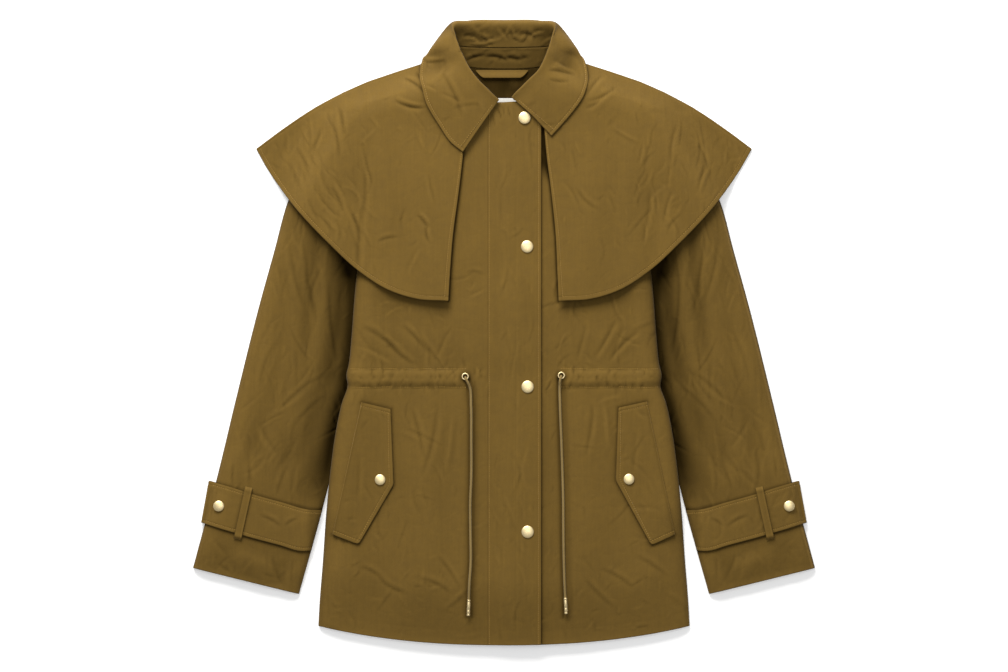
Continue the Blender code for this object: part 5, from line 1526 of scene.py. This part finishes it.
def cape_front_plan(side, step):
    start = math.degrees(math.atan2(getattr(CAPE_EDGE[0], side), NECK_CENTRE_Y - CAPE_EDGE[0].y))
    across = marks(340.0, step, sewn(CAPE_STITCH), sewn(3.0))
    up = marks(265.0, step, sewn(CAPE_STITCH), PLAIN)
    hem = cape_hem_line(CAPE_HEM, start, across)
    dense = np.linspace(0.0, 1.0, 300)
    edge_y = CAPE_EDGE[0].y + (CAPE_EDGE[-1].y - CAPE_EDGE[0].y) * dense
    edge = np.stack([soft_curve(column(CAPE_EDGE, "y"), column(CAPE_EDGE, side), edge_y), edge_y], -1)
    edge = resample(edge, up)
    edge[0] = hem[0]
    shoulder = resample(through([(r.x, r.y) for r in CAPE_SHOULDER][::-1], dense), up)
    shoulder[0] = hem[-1]
    edge[-1] += np.array([0.0, 8.0])
    neck = through([edge[-1], (66.0, 323.0), (80.0, 338.0), (88.0, 352.0), shoulder[-1]], dense)
    neck = resample(neck, across)
    edge = resample(np.concatenate([edge[:-1], edge[-1:]]), up)
    return coons(hem, neck, edge, shoulder), across, up


LEAF_EDGES = [np.array([(r.edge_x, r.edge_y) for r in COLLAR if r.on == "cape" and r.edge_x * side > 0])
              for side in (-1.0, 1.0)]
for side_name in ("right", "left"):
    plan, across, up = cape_front_plan(side_name, 2.3)
    flip = side_name == "right"
    if flip:
        plan = mirrored(plan)[:, ::-1]
    grid = laid(plan, cape_top)
    hem_d, neck_d, a, b = from_edges(grid)
    front_d, shoulder_d = (b, a) if flip else (a, b)
    relief = (seam_puff(hem_d, CAPE_STITCH) + seam_puff(front_d, CAPE_STITCH)
              + seam_puff(shoulder_d, 3.0, 0.1, 0.25))
    by_leaf = off_line(grid[..., 0], grid[..., 1], LEAF_EDGES[0] if flip else LEAF_EDGES[1])
    # painted highlight and shade along the cape's edges, and painted shade beside the collar leaf's edge
    painted_shading = (painted_edge_shading(hem_d, 1.4, 0.25) + painted_edge_shading(front_d, 1.4, 0.2) + painted_edge_shading(shoulder_d, 1.6, 0.1)
            - 0.34 * np.exp(-(by_leaf / 2.8) ** 2) - 0.10 * np.exp(-(by_leaf / 8.0) ** 2))
    _, top, n = cloth("cloth_cape_" + side_name, grid, CLOTH, COTTON, ["cape_front_" + side_name],
                      relief=relief, painted_shading=painted_shading)
    k = row_at(up, 265.0, CAPE_STITCH)
    sew("cape", top[k], n[k], (5, 5))
    k = row_at(across, 340.0, CAPE_STITCH)
    k = len(across) - 1 - k if flip else k
    sew("cape", top[:, k], n[:, k], (5, 14))

half_hem_shares = marks(420.0, HIDDEN, (), PLAIN)
half_hem = cape_hem_line(BACK_HEM, 0.0, half_hem_shares)
dense = np.linspace(0.0, 1.0, 300)
half_neck = resample(through([(0.0, 353.6), (40.0, 354.4), (66.0, 358.4), (88.0, 370.0)], dense), half_hem_shares)
up = marks(300.0, HIDDEN, sewn(CAPE_STITCH), PLAIN)
cape_shoulder = resample(through([(r.x, r.y) for r in CAPE_SHOULDER][::-1], dense), up)
centre_back = np.stack([np.zeros(len(up)), half_hem[0, 1] + (353.6 - half_hem[0, 1]) * up], -1)
cape_shoulder[0], cape_shoulder[-1] = half_hem[-1], half_neck[-1]
half_cape = coons(half_hem, half_neck, centre_back, cape_shoulder)
cape_back_plan = np.concatenate([mirrored(half_cape)[:, ::-1][:, :-1], half_cape], 1)
grid = laid(cape_back_plan, under_cape_back)
hem_d = from_edges(grid)[0]
# painted highlight and shade along the hem
_, top, n = cloth("cloth_cape_back", grid, CLOTH, COTTON, ["cape_back"],
                  painted_shading=painted_edge_shading(hem_d, 1.4, 0.25))
k = row_at(up, 300.0, CAPE_STITCH)
low_skin = grid[k] - n[k] * (CLOTH / 2 - 0.05)
sew("cape_back", low_skin, -n[k], (3, 3))

# ---------------------------------------------------------------- collar
def collar_sections():
    sections = []
    for row in COLLAR:
        front = row.on == "cape"
        neck = np.array([row.neck_x, row.neck_y, 0.0])
        if front:
            neck[2] = float(front_z(np.array(row.neck_x), np.array(row.neck_y))) + 1.0
        elif row.on == "side":
            neck[2] = 8.0
        else:
            neck[2] = float(back_z(np.array(row.neck_x), np.array(row.neck_y))) + 0.3
        roll = np.array([row.roll_x, row.roll_y, row.roll_z])
        stand = neck + (roll - neck) * STAND_PART + np.array([0.0, 0.0, 1.0])
        lie = []
        for x, y, extra in ((row.mid_x, row.mid_y, 1.4), (row.edge_x, row.edge_y, 0.0)):
            if front:
                z = float(cape_z(np.array(x), np.array(y)))
                dip = z - float(cape_z(np.array(x), np.array(y + 2.0)))
                z += LEAF_OVER_CAPE * math.hypot(1.0, dip / 2.0) + extra
                beyond = float(shoulder_distance(np.array(x), np.array(y))) + 2.0
                z += (3.4 if extra else 1.6) * float(smooth(1.0 - beyond / 12.0))
            elif row.on == "side":
                z = 8.4 if extra else 3.6
            else:
                z = FIRM / 2 + (0.3 if extra else 0.0)
            lie.append(np.array([x, y, z]))
        mid, edge = lie
        out = roll[:2] - np.array([0.0, 352.0]) if not front else mid[:2] - roll[:2]
        out = out / np.linalg.norm(out)
        bend = roll + np.array([*(out * row.roll), -row.drop])
        if row.on == "floor":
            low = bend * 0.55 + mid * 0.45
            low[:2] += (math.copysign(4.0, roll[0]), 2.0) if abs(roll[0]) > 60.0 else (0.0, 0.0)
            low[2] = roll[2] * 0.22
        elif row.on == "side":
            low = bend * 0.4 + mid * 0.6
            low[:2] += (math.copysign(2.5, roll[0]), 1.5)
            low[2] = roll[2] * 0.57
        else:
            low = (bend + mid) / 2
        sections.append([neck, stand, roll, bend, low, mid, edge])
    return np.array(sections)


sections = collar_sections()
turns = np.linalg.norm(np.diff(sections[:, 2], axis=0), axis=1)
turns += 0.5 * np.linalg.norm(np.diff(sections[:, 5], axis=0), axis=1)
place = np.concatenate([[0.0], np.cumsum(turns)])
place = place / place[-1]
COLLAR_STITCH = 4.2
leaf_at = marks(470.0, 2.4, sewn(COLLAR_STITCH), sewn(COLLAR_STITCH))
lines = [through(sections[:, k], leaf_at, place) for k in range(sections.shape[1])]

COLLAR_IN = table(CREASE_COLUMNS,
                  (-56.0, 396.0, -30.0, 388.0, 3.0, 2.2, -1.1, 0.7),
                  (-48.0, 390.0, -12.0, 394.0, -3.0, 2.0, -1.2, 0.6),
                  (-36.0, 402.0, -18.0, 384.0, 2.0, 2.2, 0.8, 0.5),
                  (-26.0, 372.0, 6.0, 366.0, 3.0, 2.4, -1.0, 0.6),
                  (-52.0, 366.0, -24.0, 374.0, 2.0, 2.2, -0.8, 0.6),
                  (0.0, 374.0, 30.0, 370.0, -2.0, 2.2, -0.8, 0.5),
                  (20.0, 404.0, 44.0, 396.0, 2.0, 2.4, 0.8, 0.5),
                  (36.0, 398.0, 56.0, 404.0, 2.0, 2.0, -0.9, 0.5),
                  (-10.0, 410.0, 4.0, 392.0, 1.0, 2.0, -0.6, 0.5),
                  (-44.0, 412.0, -30.0, 398.0, 1.0, 2.0, -0.6, 0.5),
                  (8.0, 400.0, 26.0, 390.0, -1.0, 2.0, 0.6, 0.5))
COLLAR_IN += scattered(91, (-66.0, 66.0, 356.0, 416.0), 46, (8.0, 30.0), (1.5, 2.8), (0.12, 0.55), 30.0, 50.0)
COLLAR_OUT = table(CREASE_COLUMNS,
                   (-112.0, 366.0, -78.0, 366.0, -2.0, 2.0, -0.7, 0.6),
                   (-110.0, 330.0, -90.0, 322.0, 1.0, 2.0, 0.4, 0.5),
                   (-84.0, 350.0, -56.0, 288.0, 3.0, 3.0, -0.5, 0.5),
                   (-70.0, 300.0, -30.0, 306.0, 2.0, 2.4, -0.25, 0.5),
                   (54.0, 352.0, 96.0, 346.0, 2.0, 2.0, -0.8, 0.6),
                   (60.0, 340.0, 90.0, 338.0, -2.0, 2.0, -0.5, 0.5),
                   (62.0, 362.0, 84.0, 352.0, 2.0, 2.0, 0.4, 0.5))
COLLAR_OUT += scattered(92, (-116.0, 116.0, 244.0, 400.0), 60, (10.0, 44.0), (1.6, 3.0), (0.06, 0.28), 70.0, 50.0)

stand_up = marks(32.0, 2.2, PLAIN, (0.22, 0.7, 1.4, 2.2, 3.0, 4.0))
stand_grid = lines[0][None] + (lines[1] - lines[0])[None] * stand_up[:, None, None]
inside_back = smooth((stand_grid[..., 1] - 352.0) / 12.0)
_, up_d, _, _ = from_edges(stand_grid)
relief = -(creased(stand_grid[..., 0], stand_grid[..., 1], COLLAR_IN) * inside_back
           * smooth(up_d / 2.0)) - 0.25 * np.exp(-((up_d - 2.2) / 0.8) ** 2)
grid = stand_grid[:, ::-1]
relief = -relief[:, ::-1]
verts_n = normals_of(grid)
if verts_n[len(stand_up) // 2, len(leaf_at) // 2, 2] < 0:
    grid, relief = stand_grid, relief[:, ::-1]
# painted shade: the collar stand, inside the neck, is painted 42 % darker
_, top, n = cloth("cloth_collar_stand", grid, FIRM, COTTON, ["collar_stand"], relief=relief,
                  painted_shading=np.full(grid.shape[:2], -0.42),
                  flat=(470.0, 32.0))

seam = lines[1] + (lines[2] - lines[1]) * (SEAM + 0.5) / np.linalg.norm(
    lines[2] - lines[1], axis=1)[:, None]
keys = np.stack([seam, (seam + lines[2]) / 2, lines[2], lines[3], lines[4], lines[5],
                 (lines[5] + lines[6]) / 2, lines[6]])
leaf_profile = []
for k in range(keys.shape[1]):
    points = keys[:, k]
    run = share(points)
    # the same number of steps before and after the roll on every section
    before = run[2] * marks(30.0, 2.0, (0.3, 0.9, 1.8, 2.8), ())
    after = run[2] + (1.0 - run[2]) * marks(80.0, 2.1, (), sewn(COLLAR_STITCH))
    leaf_profile.append(through(points, np.concatenate([before, after[1:]]), run))
rolled = len(before)
leaf = np.stack(leaf_profile, 1)
leaf[..., 2] = np.maximum(leaf[..., 2], FIRM / 2)
row_of = np.arange(leaf.shape[0])[:, None] * np.ones(leaf.shape[1])[None]
inner_part = 1.0 - smooth((row_of - rolled + 5.0) / 5.0)
outer_part = smooth((row_of - rolled - 4.0) / 6.0)
seam_d, edge_d, start_d, end_d = from_edges(leaf)
fold_in = creased(leaf[..., 0], leaf[..., 1], COLLAR_IN) * inner_part * smooth((leaf[..., 1] - 360.0) / 12.0)
fold_out = creased(leaf[..., 0], leaf[..., 1], COLLAR_OUT) * outer_part * (
    1.0 - smooth((leaf[..., 1] - 380.0) / 10.0))
leaf_relief = (-fold_in * smooth(seam_d / 3.0) + fold_out
               + seam_puff(edge_d, COLLAR_STITCH)
               + (seam_puff(start_d, COLLAR_STITCH) + seam_puff(end_d, COLLAR_STITCH)) * outer_part)
leaf_relief = leaf_relief * (1.0 - outer_part * (1.0 - smooth((leaf[..., 2] - 1.2) / 2.0)))
n = normals_of(leaf)
probe = (leaf.shape[0] - 12, 8)
sign = 1.0 if n[probe][2] > 0 else -1.0
corner = smooth((np.abs(leaf[..., 0]) - 34.0) / 26.0)
# painted shade inside the collar, stronger towards its ends; the outside 4 % darker; painted highlight and shade along
# the edges
leaf_painted_shading = (-(0.26 + 0.26 * corner) * inner_part * smooth((leaf[..., 1] - 350.0) / 20.0) - 0.04 * outer_part
             + painted_edge_shading(edge_d, 1.3, 0.22) + painted_edge_shading(np.minimum(start_d, end_d), 1.3, 0.22) * outer_part)
_, top, n = cloth("cloth_collar_leaf", leaf, FIRM, COTTON, ["collar_leaf"], relief=sign * leaf_relief,
                  painted_shading=leaf_painted_shading, flat=(480.0, 105.0))
outside = top if sign > 0 else 2 * leaf - top
k = leaf.shape[0] - 1 - int(np.argmin(np.abs(edge_d[::-1, leaf.shape[1] // 8] - COLLAR_STITCH)))
n_out = n * sign
on_floor = np.flatnonzero(outside[k][:, 2] < 1.6)      # the hidden back edge has no stitches here
for span in (slice(5, on_floor[0]), slice(on_floor[-1] + 1, len(leaf_at) - 5)):
    sew("collar", outside[k][span], n_out[k][span])
for c in (row_at(leaf_at, 470.0, COLLAR_STITCH), len(leaf_at) - 1 - row_at(1.0 - leaf_at[::-1], 470.0, COLLAR_STITCH)):
    sew("collar", outside[rolled + 4:k, c], n_out[rolled + 4:k, c])

# ---------------------------------------------------------------- inside the neck
loop_t = marks(72.0, 1.4, (0.3, 0.8), (0.3, 0.8))
loop_x = -37.8 + 70.2 * loop_t
loop_ends = np.minimum(loop_t, 1.0 - loop_t)
loop_low = 353.0 - 9.6 * np.sin(np.clip(loop_ends / 0.17, 0.0, 1.0) * math.pi / 2)
loop_rows = marks(10.0, 1.2, (0.3, 0.8, 1.6), (0.3, 0.8, 1.6))[:, None]
loop_plan = np.stack([np.broadcast_to(loop_x, (len(loop_rows), len(loop_x))),
                      (loop_low - 0.6)[None] * (1 - loop_rows) + 353.4 * loop_rows], -1)
cloth("cloth_hanger_loop", laid(loop_plan, lambda x, y: back_z(x, y) + LAP + 1.4
                                + 1.8 * smooth((352.0 - y) / 8.0)
                                + 0.3 * np.sin(x / 7.0)), 1.0, COTTON, ["hanger_loop"])
label_plan = np.stack(np.meshgrid(LABEL_X[0] + (LABEL_X[1] - LABEL_X[0]) * marks(48.0, 2.0, PLAIN, PLAIN),
                                  LABEL_Y[0] + (LABEL_Y[1] - LABEL_Y[0]) * marks(30.0, 2.0, PLAIN, PLAIN)), -1)
cloth("cloth_neck_label", laid(label_plan, lambda x, y: back_z(x, y) + CLOTH / 2 + 1.0), 0.6, TAPE,
      ["neck_label"])

# ---------------------------------------------------------------- casing and other stitches
for sign, inner in ((-1.0, 48.5), (1.0, 74.0)):
    xs = np.linspace(inner + 2.0, 207.0, 60)
    for level in (CASING_TOP, CASING_LOW):
        wobble = 0.35 * np.sin(xs / 11.0) + 0.2 * np.sin(xs / 4.0)
        sew_on("casing", np.stack([sign * xs, level + wobble], -1), front_top, CLOTH / 2)


def beads(name, runs, material, pitch=3.1, long=2.3, wide=0.44, high=0.30):
    """Each stitch is a small closed bead lying along its line."""
    angle = np.linspace(0.0, 2 * math.pi, 6)[:-1]
    all_verts, all_faces, start = [], [], 0
    for points, normals in runs:
        total = length_of(points)
        count = int(total / pitch)
        if count < 2:
            continue
        run = share(points)
        centre = (np.arange(count) + 0.5) / count
        p = np.stack([np.interp(centre, run, points[:, k]) for k in range(3)], -1)
        q = np.stack([np.interp(centre + 0.3 / count, run, points[:, k]) for k in range(3)], -1)
        n = np.stack([np.interp(centre, run, normals[:, k]) for k in range(3)], -1)
        t = (q - p) / np.maximum(np.linalg.norm(q - p, axis=1, keepdims=True), 1e-9)
        n = n - (n * t).sum(1, keepdims=True) * t
        n /= np.linalg.norm(n, axis=1, keepdims=True)
        s = np.cross(t, n)
        for along, size in ((-0.5, 0.4), (0.0, 1.0), (0.5, 0.4)):
            for a in angle:
                all_verts.append((p + t * long * along + s * wide * size * math.cos(a)
                                  + n * (high * size * math.sin(a) + 0.10))[:, None])
        block = np.concatenate(all_verts[-15:], 1)
        del all_verts[-15:]
        all_verts.append(block.reshape(-1, 3))
        for i in range(count):
            base = start + i * 15
            for ring in (0, 5):
                for k in range(5):
                    j = (k + 1) % 5
                    all_faces.append((base + ring + k, base + ring + j, base + ring + 5 + j, base + ring + 5 + k))
            all_faces.append(tuple(base + k for k in (4, 3, 2, 1, 0)))
            all_faces.append(tuple(base + 10 + k for k in range(5)))
        start += count * 15
    piece = put(name, np.concatenate(all_verts), all_faces, [material])
    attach(piece, "root")
    return piece


for group in sorted({g for g, _, _ in STITCHES}):
    beads("stitches_" + group, [(p, n) for g, p, n in STITCHES if g == group], THREAD_PAINTED_LIGHT)


# ---------------------------------------------------------------- snaps and eyelets
def cap_profile(across):
    r, h = across / 2, CAP_HEIGHT
    dome = [(0.0, h)] + [(r * 0.90 * math.sin(a) / math.sin(0.9), 1.45 + (h - 1.45) * (math.cos(a) - math.cos(0.9)) / (1 - math.cos(0.9)))
                         for a in np.linspace(0.12, 0.9, 9)]
    rim = [(r * 0.94, 1.30), (r * 0.97, 1.12), (r * 0.992, 0.84), (r, 0.5), (r * 0.985, 0.22),
           (r * 0.95, 0.04), (r * 0.9, 0.0), (0.0, 0.0)]
    return dome + rim


for snap in SNAPS:
    low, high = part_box(snap.name)
    verts, faces = revolve(cap_profile(snap.across), 48)
    verts = verts + np.array([snap.x, snap.y, low[2] / MM - 0.25])
    piece = put("cap_" + snap.name, verts, faces, [BRASS])
    settle(piece, [snap.name])

for side_name, rows in (("right", CORD_RIGHT), ("left", CORD_LEFT)):
    low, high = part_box("eyelet_" + side_name)
    mid, wire = (EYELET_OUTER - EYELET_WIRE) / 2, EYELET_WIRE / 2
    ring = [(mid + wire * math.sin(a), wire * 0.75 * (1.0 + math.cos(a)))
            for a in np.linspace(0.0, 2 * math.pi, 17)[:-1]]
    verts, faces = revolve(ring, 40)
    # painted shade: a dark disc inside the ring where the hole would be
    disc, disc_faces = revolve([(0.0, 0.35), (mid - wire * 0.4, 0.35), (mid - wire * 0.4, 0.0), (0.0, 0.0)], 40)
    face_material = [0] * len(faces) + [1] * len(disc_faces)
    faces = faces + [[v + len(verts) for v in f] for f in disc_faces]
    verts = np.concatenate([verts, disc]) + np.array([rows[0].x, rows[0].y, low[2] / MM - 0.2])
    piece = put("ring_eyelet_" + side_name, verts, faces, [BRASS, HOLE_PAINTED_SHADE], face_material=face_material)
    settle(piece, ["eyelet_" + side_name])

# ---------------------------------------------------------------- floor
floor_mesh = bpy.data.meshes.new("floor")
floor_mesh.from_pydata([(-6, -6, -0.0004), (6, -6, -0.0004), (6, 6, -0.0004), (-6, 6, -0.0004)], [], [(0, 1, 2, 3)])
floor = bpy.data.objects.new("floor", floor_mesh)
paper = bpy.data.materials.new("paper")
paper.use_nodes = True
paper_shader = paper.node_tree.nodes["Principled BSDF"]
paper_shader.inputs["Base Color"].default_value = (0.84, 0.84, 0.84, 1.0)
paper_shader.inputs["Roughness"].default_value = 0.95
paper_shader.inputs["Emission Color"].default_value = (1.0, 1.0, 1.0, 1.0)
paper_shader.inputs["Emission Strength"].default_value = 0.30
paper_shader.inputs["Specular IOR Level"].default_value = 0.1
floor_mesh.materials.append(paper)
scene.collection.objects.link(floor)

bpy.context.view_layer.update()
total = sum(sum(len(p.vertices) - 2 for p in o.data.polygons) for o in parka.objects)
print("triangles in the looks:", total)
for o in sorted(parka.objects, key=lambda o: -len(o.data.polygons))[:6]:
    print("   ", o.name, sum(len(p.vertices) - 2 for p in o.data.polygons))
